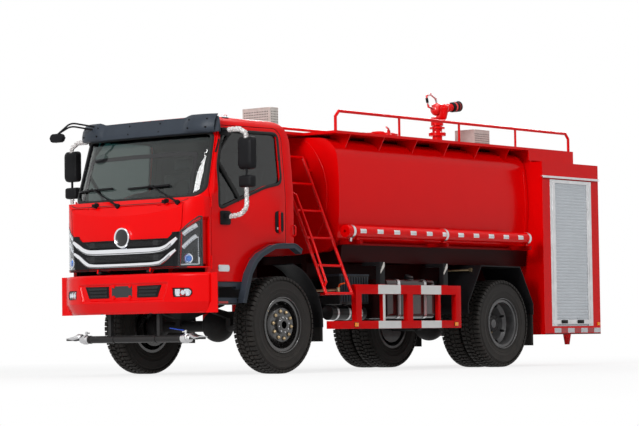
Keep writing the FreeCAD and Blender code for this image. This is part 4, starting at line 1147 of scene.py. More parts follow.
# ---------------------------------------------------------------- repeated pieces
class Repeats:
    """Geometry Nodes trees for what repeats round a ring or along rows."""

    def __init__(self) -> None:
        """Build both trees."""
        self.ring = self.build("ring of pieces", self.turn_places)
        self.rows = self.build("rows of pieces", self.row_places)

    @staticmethod
    def build(name: str, places: Callable[..., tuple]) -> bpy.types.NodeTree:
        """A tree that puts copies of a unit at places and makes them real.

        Args:
            name: The tree's name.
            places: Makes each copy's place and turn.

        Returns:
            The tree.
        """
        wires, start, end = open_group(
            name, "GeometryNodeTree",
            [Plug("Geometry", "NodeSocketGeometry"), Plug("Unit", "NodeSocketObject"),
             Plug("Count", "NodeSocketInt", 8), Plug("Start", "NodeSocketVector"),
             Plug("Step", "NodeSocketVector"), Plug("Row Length", "NodeSocketInt", 1000),
             Plug("Row Step", "NodeSocketVector"), Plug("Phase", "NodeSocketFloat", 0.0),
             Plug("Jitter", "NodeSocketFloat", 0.0), Plug("Seed", "NodeSocketInt", 1),
             Plug("Finish", "NodeSocketMaterial")],
            [Plug("Geometry", "NodeSocketGeometry")])
        source = start.outputs
        index = wires.add("GeometryNodeInputIndex").outputs[0]
        place, turn = places(wires, source, index)
        points = wires.add("GeometryNodePoints", None, source["Count"], place)
        unit = wires.add("GeometryNodeObjectInfo", {"transform_space": "ORIGINAL"}, source["Unit"])
        copies = wires.add("GeometryNodeInstanceOnPoints", None, Points=points.outputs[0],
                           Instance=unit.outputs["Geometry"], Rotation=turn)
        real = wires.add("GeometryNodeRealizeInstances", None, copies.outputs[0])
        coated = wires.add("GeometryNodeSetMaterial", None, Geometry=real.outputs[0],
                           Material=source["Finish"])
        wires.feed(end.inputs[0], coated.outputs[0])
        return wires.tree

    @staticmethod
    def chance(wires: Wiring, source: bpy.types.bpy_prop_collection, index: bpy.types.NodeSocket
               ) -> bpy.types.NodeSocket:
        """A number for each copy between minus and plus the jitter.

        Args:
            wires: The tree's wiring.
            source: The group's input sockets.
            index: The copy's number.

        Returns:
            The number.
        """
        node = wires.add("FunctionNodeRandomValue", {"data_type": "FLOAT"})
        wires.feed(node.inputs[2], -1.0)
        wires.feed(node.inputs[3], 1.0)
        wires.feed(node.inputs["ID"], index)
        wires.feed(node.inputs["Seed"], source["Seed"])
        return wires.maths("MULTIPLY", node.outputs[1], source["Jitter"])

    @staticmethod
    def turn_places(wires: Wiring, source: bpy.types.bpy_prop_collection, index: bpy.types.NodeSocket
                    ) -> tuple[bpy.types.NodeSocket, bpy.types.NodeSocket]:
        """Copies turned about Y round a centre, the Start point.

        Args:
            wires: The tree's wiring.
            source: The group's input sockets.
            index: The copy's number.

        Returns:
            The copies' place and turn.
        """
        share = wires.maths("DIVIDE", index, source["Count"])
        angle = wires.maths("MULTIPLY_ADD", share, 2 * math.pi, source["Phase"])
        angle = wires.maths("ADD", angle, Repeats.chance(wires, source, index))
        turn = wires.add("ShaderNodeCombineXYZ", None, None, angle).outputs[0]
        return source["Start"], turn

    @staticmethod
    def row_places(wires: Wiring, source: bpy.types.bpy_prop_collection, index: bpy.types.NodeSocket
                   ) -> tuple[bpy.types.NodeSocket, bpy.types.NodeSocket]:
        """Copies in rows: along Step, then on to the next row by Row Step.

        Args:
            wires: The tree's wiring.
            source: The group's input sockets.
            index: The copy's number.

        Returns:
            The copies' place and turn.
        """
        row = wires.maths("FLOOR", wires.maths("DIVIDE", wires.maths("ADD", index, 0.5),
                                               source["Row Length"]))
        column = wires.maths("SUBTRACT", index, wires.maths("MULTIPLY", row, source["Row Length"]))
        along = wires.add("ShaderNodeVectorMath", {"operation": "SCALE"}, source["Step"])
        wires.feed(along.inputs["Scale"], wires.maths("ADD", column, Repeats.chance(wires, source, index)))
        down = wires.add("ShaderNodeVectorMath", {"operation": "SCALE"}, source["Row Step"])
        wires.feed(down.inputs["Scale"], row)
        place = wires.vectors("ADD", source["Start"],
                              wires.vectors("ADD", along.outputs[0], down.outputs[0]))
        turn = wires.add("ShaderNodeCombineXYZ", None, 0.0, source["Phase"], 0.0).outputs[0]
        return place, turn

    def made(self, tree: bpy.types.NodeTree, name: str, unit: Stock, finish: Finish, body: str, slot: Slot,
             replaces: Sequence[str] = (), crease: float = 32.0, **values: object) -> bpy.types.Object:
        """Repeat a unit and settle the result as one plain mesh.

        Args:
            tree: The tree that repeats it.
            name: The piece's name.
            unit: The stock that is repeated.
            finish: The finish of every copy.
            body: The body that the piece rides on.
            slot: The record's slot; it is not used.
            replaces: CAD nodes that it stands for.
            crease: The angle in degrees above which an edge stays sharp.
            values: The tree's inputs, with _ for a space.

        Returns:
            The piece's object.
        """
        scene = bpy.context.scene.collection.objects
        bmesh.ops.recalc_face_normals(unit.mesh, faces=unit.mesh.faces[:])
        shade(unit.mesh, crease)
        mesh = bpy.data.meshes.new(name + "_unit")
        unit.mesh.to_mesh(mesh)
        unit.mesh.free()
        source = bpy.data.objects.new(name + "_unit", mesh)
        piece = bpy.data.objects.new(name, bpy.data.meshes.new(name))
        scene.link(source)
        scene.link(piece)
        modifier = piece.modifiers.new("repeat", "NODES")
        modifier.node_group = tree
        given = {key.replace("_", " "): value for key, value in values.items()}
        given.update({"Unit": source, "Finish": finish.material()})
        for item in tree.interface.items_tree:
            if item.item_type == "SOCKET" and item.in_out == "INPUT" and item.name in given:
                modifier[item.identifier] = given[item.name]
        graph = bpy.context.evaluated_depsgraph_get()
        plain = bpy.data.meshes.new_from_object(piece.evaluated_get(graph), depsgraph=graph)
        piece.modifiers.clear()
        piece.data = plain
        bpy.data.objects.remove(source)
        return settle(piece, body, replaces)


REPEATS = Repeats()


def ring(name: str, unit: Stock, finish: Finish, body: str, slot: Slot, centre: Point, count: int,
         **more: object) -> bpy.types.Object:
    """Repeat a unit round the Y axis through centre; the unit is modelled about the origin.

    Args:
        name: The piece's name.
        unit: The stock that is repeated.
        finish: Its finish.
        body: The body that it rides on.
        slot: The record's slot.
        centre: The ring's centre.
        count: How many copies there are.
        more: Further values for Repeats.made.

    Returns:
        The piece's object.
    """
    return REPEATS.made(REPEATS.ring, name, unit, finish, body, slot, Count=count, Start=tuple(centre),
                        **more)


def rows(name: str, unit: Stock, finish: Finish, body: str, slot: Slot, start: Point, step: Point, count: int,
         **more: object) -> bpy.types.Object:
    """Repeat a unit along rows from start.

    Args:
        name: The piece's name.
        unit: The stock that is repeated.
        finish: Its finish.
        body: The body that it rides on.
        slot: The record's slot.
        start: The first copy's place.
        step: The way to the next copy.
        count: How many copies there are.
        more: Further values for Repeats.made.

    Returns:
        The piece's object.
    """
    return REPEATS.made(REPEATS.rows, name, unit, finish, body, slot, Count=count, Start=tuple(start),
                        Step=tuple(step), **more)


# ---------------------------------------------------------------- carried-over parts
def softened(node: str, finish: Finish, width: float,
             lining: Optional[tuple[Finish, Vector]] = None) -> bpy.types.Object:
    """Stand a copy with eased edges in for a CAD node.

    Args:
        node: The CAD node.
        finish: The copy's finish.
        width: How much its sharp edges are eased.
        lining: A second finish for the faces that look towards a point, and that point.

    Returns:
        The piece's object.
    """
    source = frame["nodes"][node]
    stock = Stock()
    stock.mesh.from_mesh(source.data)
    mesh = stock.mesh
    bmesh.ops.remove_doubles(mesh, verts=mesh.verts[:], dist=2e-5)
    bmesh.ops.dissolve_limit(mesh, angle_limit=FLAT_ANGLE, verts=mesh.verts[:], edges=mesh.edges[:])
    sharp = [e for e in mesh.edges if len(e.link_faces) == 2 and e.calc_length() > width * 1.2
             and e.calc_face_angle(0.0) > SHARP_ANGLE]
    bmesh.ops.bevel(mesh, geom=sharp, offset=width, segments=2, profile=0.6, affect="EDGES",
                    clamp_overlap=True)
    piece = plain_piece(stock, node + "_eased", finish, source["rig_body"], (node,))
    if lining:
        piece.data.materials.append(lining[0].material())
        for face in piece.data.polygons:
            inwards = lining[1] - face.center
            if face.normal.dot(inwards.normalized()) > 0.3 or face.normal.z < -0.7 and face.center.z < 1.5:
                face.material_index = 1
    return piece


def plain_piece(stock: Stock, name: str, finish: Finish, body: str, replaces: Sequence[str]
                ) -> bpy.types.Object:
    """Settle stock whose faces already point outwards.

    Args:
        stock: The finished stock.
        name: The piece's name.
        finish: Its finish.
        body: The body that it rides on.
        replaces: CAD nodes that it stands for.

    Returns:
        The piece's object.
    """
    shade(stock.mesh, 30.0)
    bmesh.ops.triangulate(stock.mesh, faces=[f for f in stock.mesh.faces if len(f.verts) > 4])
    mesh = bpy.data.meshes.new(name)
    stock.mesh.to_mesh(mesh)
    stock.mesh.free()
    mesh.materials.append(finish.material())
    return settle(bpy.data.objects.new(name, mesh), body, replaces)


@dataclass
class CarriedOver:
    """CAD nodes that keep their own shape and get a procedural finish."""

    finishes: dict[str, Finish] = field(default_factory=lambda: {"chassis_frame": BLACK, "front_axle": CAST,
                                                                 "rear_axle": CAST, "leaf_springs": BLACK,
                                                                 "drivetrain": CAST, "engine_block": CAST,
                                                                 "air_and_battery": BLACK,
                                                                 "mudflaps": RUBBER, "water_tank": RED,
                                                                 "tank_bearers": BEARER_RED_PAINTED_SHADE,
                                                                 "hose_tubes": RED, "walkway": RED,
                                                                 "handrails": RED, "ladder": RED,
                                                                 "rear_box": RED, "shutters": SHUTTER_SILVER,
                                                                 "rear_fittings": RED, "monitor_base": RED,
                                                                 "monitor_body": RED, "manhole_lid": RED,
                                                                 "cab_glass": WINDSCREEN_GLASS,
                                                                 "dashboard": DASH_SKIN, "front_flap": RED,
                                                                 "front_knuckle_left": CAST,
                                                                 "front_knuckle_right": CAST,
                                                                 "front_rim_left": RIM_BLACK,
                                                                 "front_rim_right": RIM_BLACK,
                                                                 "rear_rims_left": RIM_GREY,
                                                                 "rear_rims_right": RIM_GREY,
                                                                 "door_glass_left": SIDE_GLASS,
                                                                 "door_glass_right": SIDE_GLASS,
                                                                 "deck_boxes": GALVANISED,
                                                                 "kerb_mirror": BLACK_MOULDING,
                                                                 "spray_bar": BLACK,
                                                                 "cab_steps": GREY_MOULDING})

    def build(self) -> None:
        """Give each node its material."""
        for node, finish in self.finishes.items():
            mesh = frame["nodes"][node].data
            mesh.materials.clear()
            mesh.materials.append(finish.material())
            LOG.info("%s: finished as %s", node, finish.name)


@dataclass
class EasedParts:
    """CAD nodes shown as copies whose sheet-metal edges are eased."""

    parts: tuple[tuple[str, Finish, float, Slot], ...] = (("side_guards", GUARD_PAINT, 0.006, Slot.RED),
                                                          ("fenders", BLACK_MOULDING, 0.004,
                                                           Slot.BLACK_PLASTIC), ("fuel_tank", GLOSS_BLACK_RED_REFLECTION,
                                                                                 0.008, Slot.BLACK_STEEL),
                                                          ("sun_visor", GREY_MOULDING, 0.010,
                                                           Slot.GREY_PLASTIC))

    def build(self) -> None:
        """Make each copy."""
        for node, finish, width, slot in self.parts:
            softened(node, finish, width)
        softened("cab_shell", RED, 0.006, (LINING, Vector((2.62, 0.0, 1.95))))
        for name, side in SIDES:
            softened("door_" + name, RED, 0.005, (LINING, Vector((2.70, -1.5 * side, 1.85))))


# ---------------------------------------------------------------- cab front
@dataclass
class Windscreen:
    """The windscreen's seal, border, wipers, washers and seam, and the film inside the rear window."""

    outline: tuple[tuple[float, float], ...] = (
        (-0.905, 1.898), (-0.760, 1.832), (0.760, 1.832), (0.905, 1.898), (0.868, 2.478), (-0.868, 2.478))
    seal_width: float = 0.046
    border_width: float = 0.046
    corner: float = 0.07

    def grown(self, by: float) -> list[Vector]:
        """The outline moved outwards and rounded.

        Args:
            by: How far it is moved.

        Returns:
            The outline's points.
        """
        centre = Vector((0.0, 2.15))
        moved = []
        for p in self.outline:
            out = Vector(p) - centre
            moved.append((p[0] + math.copysign(by, out.x), p[1] + math.copysign(by, out.y)))
        return spaced(rounded(moved, self.corner), 0.05)

    def build(self) -> None:
        """Make every piece round the windscreen."""
        shell = Skin("cab_shell")
        glass = Skin("cab_glass")
        seal = Stock()
        shell.strip(seal, [shell.ahead(p.x, p.y) for p in self.grown(0.014)],
                    crown_profile(self.seal_width, 0.010), closed=True)
        seal.piece("windscreen_seal", RUBBER, Body.CAB, Slot.RUBBER)
        border = Stock()
        glass.strip(border, [glass.ahead(p.x, p.y) for p in self.grown(-0.022)],
                    strip_profile(self.border_width, 0.002, 0.0005), closed=True)
        border.piece("windscreen_border", PIANO_BLACK, Body.CAB, Slot.BLACK_PLASTIC)
        film = Stock()
        pane = rounded(oblong(-0.405, 2.015, 0.405, 2.385), 0.04)
        film.plate(pane, Axis.X, 2.0465, 2.0490)
        film.piece("rear_window_film", PIANO_BLACK, Body.CAB, Slot.BLACK_PLASTIC)
        self.wiper("right", (-0.127, 1.757), (-0.611, 1.955), (-0.86, -0.31), glass, shell)
        self.wiper("left", (0.727, 1.758), (0.243, 1.950), (-0.073, 0.50), glass, shell)
        washers = Stock()
        for y in (-0.453, 0.555):
            spot = shell.ahead(y, 1.775)
            washers.turned([(-0.01, 0.0), (-0.01, 0.030), (0.012, 0.032), (0.030, 0.022), (0.038, 0.0)],
                           spot.at, spot.out, 16)
            washers.block(spot.at + Vector((0.02, -0.022, -0.012)), spot.at + Vector((0.055, 0.022, 0.020)),
                          0.006)
        washers.piece("washer_jets", BLACK_MOULDING, Body.CAB, Slot.BLACK_PLASTIC)
        seam = Stock()
        seam_skin = Skin("cab_shell", "front_flap")
        line = [seam_skin.ahead(y, 1.768 if abs(y) < 0.76 else 1.768 + (abs(y) - 0.76) * 0.35)
                for y in grid(-0.84, 0.84, 36)]
        seam_skin.strip(seam, line, strip_profile(0.009, 0.0015))
        seam.piece("cowl_seam", RUBBER, Body.CAB, Slot.RUBBER)

    def wiper(self, name: str, pivot: Point, head: Point, blade: Point, glass: Skin, shell: Skin) -> None:
        """Make one wiper.

        Args:
            name: Which wiper it is.
            pivot: Its pivot's y and z on the cowl.
            head: The blade's middle in y and z.
            blade: The blade's two ends in y.
            glass: The windscreen's skin.
            shell: The cab's skin.
        """
        foot = shell.ahead(*pivot)
        top = glass.ahead(*head)
        stock = Stock()
        stock.turned([(-0.01, 0.0), (-0.01, 0.027), (0.02, 0.027), (0.032, 0.018), (0.034, 0.0)], foot.at,
                     foot.out, 18)
        knee = foot.lifted(0.035).lerp(top.lifted(0.055), 0.3)
        stock.swept([foot.lifted(0.025), knee, top.lifted(0.045)], ring_profile(0.0105, 8, 0.6))
        stock.swept([foot.lifted(0.030), knee], ring_profile(0.017, 8, 0.6))
        span = [glass.ahead(y,
                            head[1] - 0.010 + 0.02 * (y - head[0])) for y in grid(blade[0], blade[1], 12)]
        stock.swept([s.lifted(0.020) for s in span], [(-0.007, -0.016), (0.007, -0.016), (0.009, 0.010),
                                                     (-0.009, 0.010)], [s.out for s in span])
        third = len(span) // 3
        stock.swept([s.lifted(0.034) for s in span[third:-third]], ring_profile(0.008, 8))
        stock.piece("wiper_" + name, BLACK_MOULDING, Body.CAB, Slot.BLACK_PLASTIC)


@dataclass
class Grille:
    """The black surround, mesh slots, two bright bars and plain round disc on the front flap."""

    upper: tuple[tuple[float, float, float], ...] = (
        (0.0, 1.279, 0.075), (0.40, 1.281, 0.072), (0.52, 1.288, 0.066), (0.60, 1.312, 0.062),
        (0.672, 1.355, 0.058), (0.742, 1.402, 0.040))
    lower: tuple[tuple[float, float, float], ...] = (
        (0.0, 1.140, 0.052), (0.40, 1.142, 0.052), (0.515, 1.152, 0.056), (0.585, 1.190, 0.056),
        (0.655, 1.240, 0.050), (0.728, 1.282, 0.034))
    disc_height: float = 1.425
    disc_radius: float = 0.108

    def build(self) -> None:
        """Make every piece of the grille."""
        skin = Skin("front_flap", "headlamps", "cab_shell")
        surround = Stock()
        levels = [1.113, 1.16, 1.22, 1.28, 1.34, 1.402]
        laid_plate(surround, [[skin.ahead(y, z) for y in grid(-self.half_at(z), self.half_at(z), 30)]
                              for z in levels], 0.008)
        for side in (-1, 1):
            laid_plate(surround, [[skin.ahead(side * y, z) for y in grid(low, self.half_at(z), 5)]
                                  for z, low in ((1.402, 0.615), (1.43, 0.652), (1.463, 0.69))], 0.008)
        surround.piece("grille_surround", BLACK_MOULDING, Body.FLAP, Slot.BLACK_PLASTIC)
        mesh = Stock()
        for low, high, wide, narrow in ((1.336, 1.390, 0.565, 0.50), (1.183, 1.240, 0.565, 0.50)):
            laid_plate(mesh, [[skin.ahead(y, z) for y in grid(-w, w, 24)]
                              for z, w in ((low, narrow), (high, wide))], 0.010, 0.0)
        mesh.piece("grille_mesh", GRILLE_MESH, Body.FLAP, Slot.BLACK_PLASTIC)
        lips = Stock()
        for low, wide in ((1.332, 0.50), (1.179, 0.50), (1.393, 0.56)):
            line = [skin.ahead(y, low) for y in grid(-wide, wide, 24)]
            skin.strip(lips, line, strip_profile(0.008, 0.022))
        for low in (1.349, 1.363, 1.377, 1.197, 1.212, 1.227):
            line = [skin.ahead(y, low) for y in grid(-0.52, 0.52, 24)]
            skin.strip(lips, line, strip_profile(0.0035, 0.014))
        lips.piece("grille_slats", BLACK_MOULDING, Body.FLAP, Slot.BLACK_PLASTIC)
        bars = Stock()
        for stations in (self.upper, self.lower):
            self.bar(bars, stations, skin)
        bars.piece("grille_bright_bars", CHROME, Body.FLAP, Slot.CHROME, replaces=("grille_bars",))
        # Dark strips along the lower half of each bright bar: a painted dark reflection on the chrome, not
        # grooves.
        bar_dark_reflection_strips = Stock()
        for stations in (self.upper, self.lower):
            for share, width, lift in ((-0.20, 0.007, 0.0325), (-0.40, 0.006, 0.0265)):
                line = [(y, z + share * w) for y, z, w in stations[:-1]]
                full = [(-y, z) for y, z in reversed(line[1:])] + line
                path = spaced([Vector(p) for p in full], 0.05, closed=False)
                skin.strip(bar_dark_reflection_strips, [skin.ahead(p.x, p.y) for p in path], strip_profile(width, lift))
        bar_dark_reflection_strips.piece("grille_bar_grooves", LAMP_BACK, Body.FLAP, Slot.BLACK_PLASTIC)
        valance, shell = Stock(), Skin("cab_shell")
        laid_plate(valance, [[shell.ahead(y, z) for y in grid(-0.84, 0.84, 24)] for z in (1.0965, 1.1055)],
                   0.004)
        valance.piece("nose_valance", BLACK_MOULDING, Body.CAB, Slot.BLACK_PLASTIC)
        self.disc(skin)

    @staticmethod
    def half_at(z: float) -> float:
        """Half the surround's width at a height.

        Args:
            z: The height.

        Returns:
            Half the width.
        """
        return 0.727 + (z - 1.112) * 0.09

    def bar(self, stock: Stock, stations: Sequence[Point], skin: Skin) -> None:
        """Add one bright bar, a crowned strip whose width changes along it.

        Args:
            stock: The stock to add to.
            stations: Places along half the bar: across, height and width.
            skin: The skin that it lies on.
        """
        full = [(-y, z, w) for y, z, w in reversed(stations[1:])] + list(stations)
        fine: list[tuple[float, float, float]] = []
        for a, b in zip(full, full[1:]):
            fine += [tuple(a[i] + (b[i] - a[i]) * k / 4 for i in range(3)) for k in range(4)]
        fine.append(full[-1])
        smooth = [fine[0]]
        for a, b, c in zip(fine, fine[1:], fine[2:]):
            smooth.append(tuple((a[i] + 2 * b[i] + c[i]) / 4 for i in range(3)))
        smooth.append(fine[-1])
        loops = []
        spots = [skin.ahead(y, z) for y, z, _ in smooth]
        for i, (y, z, width) in enumerate(smooth):
            before, after = spots[max(0, i - 1)].at, spots[min(len(spots) - 1, i + 1)].at
            along = (after - before).normalized()
            out = Vector((1.0, 0.22 * y, 0.0)).normalized()
            side = along.cross(out).normalized()
            base = spots[i].at + out * 0.006
            loops.append([base + side * p[0] + out * p[1] for p in crown_profile(width, 0.026, 0.006, 9)])
        stock.rings(loops)

    def disc(self, skin: Skin) -> None:
        """Make the plain round disc with its raised rim.

        Args:
            skin: The skin that it lies on.
        """
        spot = skin.ahead(0.0, self.disc_height)
        centre = Vector((spot.at.x, 0.0, self.disc_height))
        r = self.disc_radius
        rim = Stock().turned([(-0.01, r - 0.016), (-0.01, r), (0.024, r), (0.034, r - 0.006),
                              (0.036, r - 0.012), (0.030, r - 0.020), (0.018, r - 0.024)], centre, (1, 0, 0),
                             56)
        rim.piece("front_disc_rim", CHROME, Body.FLAP, Slot.CHROME)
        face = Stock().turned([(-0.01, 0.0), (-0.01, r - 0.015), (0.019, r - 0.020), (0.025, r * 0.55),
                               (0.028, 0.02), (0.028, 0.0)], centre, (1, 0, 0), 48)
        face.piece("front_disc_face", PIANO_BLACK, Body.FLAP, Slot.SILVER)
        boss = Stock().turned([(0.010, 0.0), (0.010, r * 0.5), (0.016, r * 0.48), (0.021, r * 0.36),
                               (0.022, 0.0)], centre, (1, 0, 0), 40)
        boss.piece("front_disc_boss", CHROME, Body.FLAP, Slot.CHROME)


@dataclass
class Headlamps:
    """Both headlamps: dark bezel, projector, slanted light bars, dotted light guide and clear lens."""

    shoulder: float = 1.462
    top: float = 1.612
    outer: float = 0.955

    def inner_at(self, z: float) -> float:
        """The lamp's inner edge at a height.

        Args:
            z: The height.

        Returns:
            The edge's place across the truck.
        """
        if z <= self.shoulder:
            return 0.742 + (z - 1.112) * 0.08
        return 0.770 + (z - self.shoulder) / (self.top - self.shoulder) * (self.outer - 0.790)

    def build(self) -> None:
        """Make both lamps."""
        skin = Skin("headlamps", "cab_shell", "front_flap")
        bezel, lens, bars, guide, glint = Stock(), Stock(), Stock(), Stock(), Stock()
        projector, coat, filler = Stock(), Stock(), Stock()
        levels = [1.113, 1.2, 1.3, 1.38, 1.462, 1.51, 1.56, 1.612]
        for side in (1, -1):
            cells = [[skin.ahead(side * y, z) for y in grid(self.inner_at(z), self.outer, 9)]
                     for z in levels]
            laid_plate(bezel, cells, -0.030, 0.036)
            laid_plate(lens, cells, 0.002, 0.001)
            edge = [row[0] for row in cells] + cells[-1][1:] + [row[-1] for row in reversed(cells[:-1])]
            edge += cells[0][-2:0:-1]
            skin.strip(bezel, edge, strip_profile(0.013, 0.0035, 0.034), closed=True)
            laid_plate(filler, [[skin.ahead(side * y, z) for y in grid(0.664, self.inner_at(z) - 0.002, 4)]
                                for z in levels[:5]], 0.0015, 0.01)
            for low, high, wide in (((0.792, 1.435), (0.925, 1.528), 0.030),
                                    ((0.788, 1.300), (0.920, 1.418), 0.026)):
                line = [skin.ahead(side * (low[0] + (high[0] - low[0]) * t),
                                   low[1] + (high[1] - low[1]) * t) for t in grid(0, 1, 8)]
                row = [Spot(s.lifted(-0.028), s.out) for s in line]
                skin.strip(bars, row, strip_profile(wide * 1.6, 0.012))
                skin.strip(guide, [Spot(s.lifted(0.012), s.out) for s in row],
                           crown_profile(wide * 0.42, 0.006))
                for k in range(5):
                    at = row[k + 1]
                    stud = at.lifted(0.014) + Vector((0, 0, -wide * 0.42))
                    glint.block(stud - Vector((0.010, 0.008, 0.008)), stud + Vector((0.006, 0.008, 0.008)),
                                0.002)
            dots = [skin.ahead(side * 0.934, z) for z in grid(1.15, 1.40, 14)]
            for s in dots:
                at = s.lifted(-0.020)
                glint.block(at - Vector((0.006, 0.006, 0.006)), at + Vector((0.006, 0.006, 0.006)), 0.002)
            low_line = [skin.ahead(side * y, 1.128) for y in grid(0.765, 0.925, 8)]
            low_line += [skin.ahead(side * 0.937, z) for z in (1.136, 1.16, 1.20)]
            skin.strip(guide, [Spot(s.lifted(-0.020), s.out) for s in low_line],
                       crown_profile(0.015, 0.008))
            eye = skin.ahead(side * 0.853, 1.188)
            out = (eye.out + Vector((1.2, 0, 0))).normalized()
            centre = eye.lifted(-0.034)
            projector.turned([(-0.02, 0.0), (-0.02, 0.052), (0.020, 0.052), (0.024, 0.046), (0.012, 0.040),
                              (0.010, 0.0)], centre, out, 28)
            coat.turned([(0.008, 0.0), (0.008, 0.036), (0.018, 0.033), (0.026, 0.020), (0.029, 0.0)], centre,
                        out, 28)
        bezel.piece("headlamp_bezels", LAMP_BACK, Body.CAB, Slot.BLACK_PLASTIC)
        filler.piece("grille_end_panels", BLACK_MOULDING, Body.CAB, Slot.BLACK_PLASTIC)
        bars.piece("headlamp_bar_housings", BRIGHT_STEEL, Body.CAB, Slot.SILVER)
        guide.piece("headlamp_light_guides", LIGHT_GUIDE, Body.CAB, Slot.LAMP)
        glint.piece("headlamp_diodes", CHROME, Body.CAB, Slot.CHROME)
        projector.piece("headlamp_projectors", CHROME, Body.CAB, Slot.CHROME)
        coat.piece("headlamp_projector_lenses", BLUE_COATING, Body.CAB, Slot.LAMP)
        lens.piece("headlamp_lenses", CLEAR_LENS, Body.CAB, Slot.LAMP, replaces=("headlamps",))


@dataclass
class Bumper:
    """The red steel bumper with its sunk middle, air slots, plate place and fog lamps."""

    plan: tuple[tuple[float, float], ...] = ((3.387, 1.031), (3.421, 1.031), (3.553, 0.850), (3.625, 0.600))
    bottom: float = 0.639
    top: float = 1.046
    crease: float = 0.752
    wall: float = 0.034

    def outline(self) -> list[tuple[Vector, Vector]]:
        """Points along the bumper's plan with the direction out of it.

        Returns:
            The points, each with its direction.
        """
        left = [Vector(p) for p in self.plan]
        corners = left + [Vector((p.x, -p.y)) for p in reversed(left)]
        line = spaced(rounded(corners, 0.11, 8, closed=False), 0.009, closed=False)
        result = []
        for i, here in enumerate(line):
            along = (line[min(i + 1, len(line) - 1)] - line[max(i - 1, 0)]).normalized()
            result.append((here,
                           Vector((-along.y, along.x)) if along.y < 0 else Vector((along.y, -along.x))))
        return [(p, n if n.x > -0.2 else -n) for p, n in result]

    @staticmethod
    def ramp(value: float, edge: float, width: float) -> float:
        """A soft step from 1 below edge - width to 0 above edge.

        Args:
            value: The place.
            edge: Where the step ends.
            width: How long it is.

        Returns:
            The share.
        """
        t = min(1.0, max(0.0, (edge - value) / width))
        return t * t * (3 - 2 * t)

    def depth(self, y: float, z: float) -> float:
        """How far the face is set in at a place.

        Args:
            y: The place across the truck.
            z: The height.

        Returns:
            The depth.
        """
        inset = 0.055 * max(0.0,
                            (self.crease - z) / (self.crease - self.bottom)) if z < self.crease else 0.0
        if z > self.top - 0.03:
            inset += 0.018 * ((z - self.top + 0.03) / 0.03) ** 2
        if z < self.bottom + 0.012:
            inset += 0.008
        half = 0.650 - (0.95 - z) * 0.33
        sunk = self.ramp(abs(y), half, 0.035) * self.ramp(z, 0.955, 0.018) * self.ramp(-z, -0.762, 0.022)
        fog = self.in_fog(abs(y), z)
        return inset + 0.020 * sunk + 0.024 * fog

    def in_fog(self, y: float, z: float) -> float:
        """1 inside the fog lamp's pocket, 0 outside.

        Args:
            y: The place's distance from the middle.
            z: The height.

        Returns:
            The share.
        """
        if not 0.80 < z < 0.893:
            return 0.0
        slant = 0.012 * (0.89 - z) / 0.09
        right = 0.862 + 0.028 * math.sin(math.pi * min(1.0, max(0.0, (z - 0.80) / 0.093)))
        return 1.0 if 0.690 + slant < y < right else 0.0

    def build(self) -> None:
        """Make the beam and everything set into it."""
        line = self.outline()
        pocket = [0.7995, 0.8005, 0.8925, 0.8935]
        heights = sorted(set(grid(self.bottom, self.top, 52) + [self.crease] + pocket))
        skin = Stock()
        front, back = [], []
        for z in heights:
            front.append([skin.mesh.verts.new((*(p - n * self.depth(p.y, z)), z)) for p, n in line])
        for z in (heights[0], heights[-1]):
            back.append([skin.mesh.verts.new((*(p - n * (self.wall + 0.055)), z)) for p, n in line])
        count = len(line)
        for low, high in zip(front, front[1:]):
            for i in range(count - 1):
                skin.mesh.faces.new((low[i], low[i + 1], high[i + 1], high[i]))
        for i in range(count - 1):
            skin.mesh.faces.new((front[-1][i], front[-1][i + 1], back[1][i + 1], back[1][i]))
            skin.mesh.faces.new((back[0][i], back[0][i + 1], front[0][i + 1], front[0][i]))
            skin.mesh.faces.new((back[1][i], back[1][i + 1], back[0][i + 1], back[0][i]))
        for i in (0, count - 1):
            rim = [row[i] for row in front]
            skin.mesh.faces.new(rim + [back[1][i], back[0][i]])
        for side in (1, -1):
            skin.block((3.36, side * 0.364, 0.82), (3.56, side * 0.400, 0.96), 0.004)
        skin.piece("bumper_beam", RED, Body.CHASSIS, Slot.RED, crease=38.0, replaces=("front_bumper",))
        self.slots()
        self.fog_lamps()

    def slots(self) -> None:
        """Make the two air slots and the bare plate place between them."""
        face = 3.625 - 0.020
        frames, voids, tabs = Stock(), Stock(), Stock()
        for side in (1, -1):
            outline = [(side * 0.205, 0.926), (side * 0.545, 0.929), (side * 0.490, 0.806),
                       (side * 0.203, 0.806)]
            hole = [(side * 0.232, 0.912), (side * 0.505, 0.914), (side * 0.463, 0.820),
                    (side * 0.230, 0.820)]
            frames.plate(outline, Axis.X, face - 0.015, face + 0.008, 0.004)
            voids.plate(hole, Axis.X, face - 0.012, face + 0.0088)
            for z in (0.852, 0.884):
                frames.plate([(side * 0.222, z - 0.006), (side * 0.497, z - 0.006),
                              (side * 0.500, z + 0.006), (side * 0.222, z + 0.006)], Axis.X, face - 0.005,
                             face + 0.013, 0.003)
        voids.plate(oblong(-0.163, 0.812, 0.128, 0.928), Axis.X, face - 0.012, face + 0.002)
        for y in (-0.135, 0.100):
            for z in (0.812, 0.928):
                tabs.turned([(-0.004, 0.0), (-0.004, 0.022), (0.006, 0.020), (0.009, 0.0)],
                            (face + 0.003, y, z), (1, 0, 0), 16)
        frames.piece("bumper_slot_frames", BLACK_MOULDING, Body.CHASSIS, Slot.BLACK_PLASTIC)
        voids.piece("bumper_slot_mesh", GRILLE_MESH, Body.CHASSIS, Slot.BLACK_PLASTIC)
        tabs.piece("bumper_plate_bosses", RED, Body.CHASSIS, Slot.RED)

    def place_at(self, y: float, inset: float) -> Vector:
        """The point on the bumper's face at y, set in by inset.

        Args:
            y: The place across the truck.
            inset: How far the point is set in.

        Returns:
            The point, in X and Y.
        """
        best = min(self.outline(), key=lambda pair: abs(pair[0].y - y))
        return best[0] - best[1] * inset

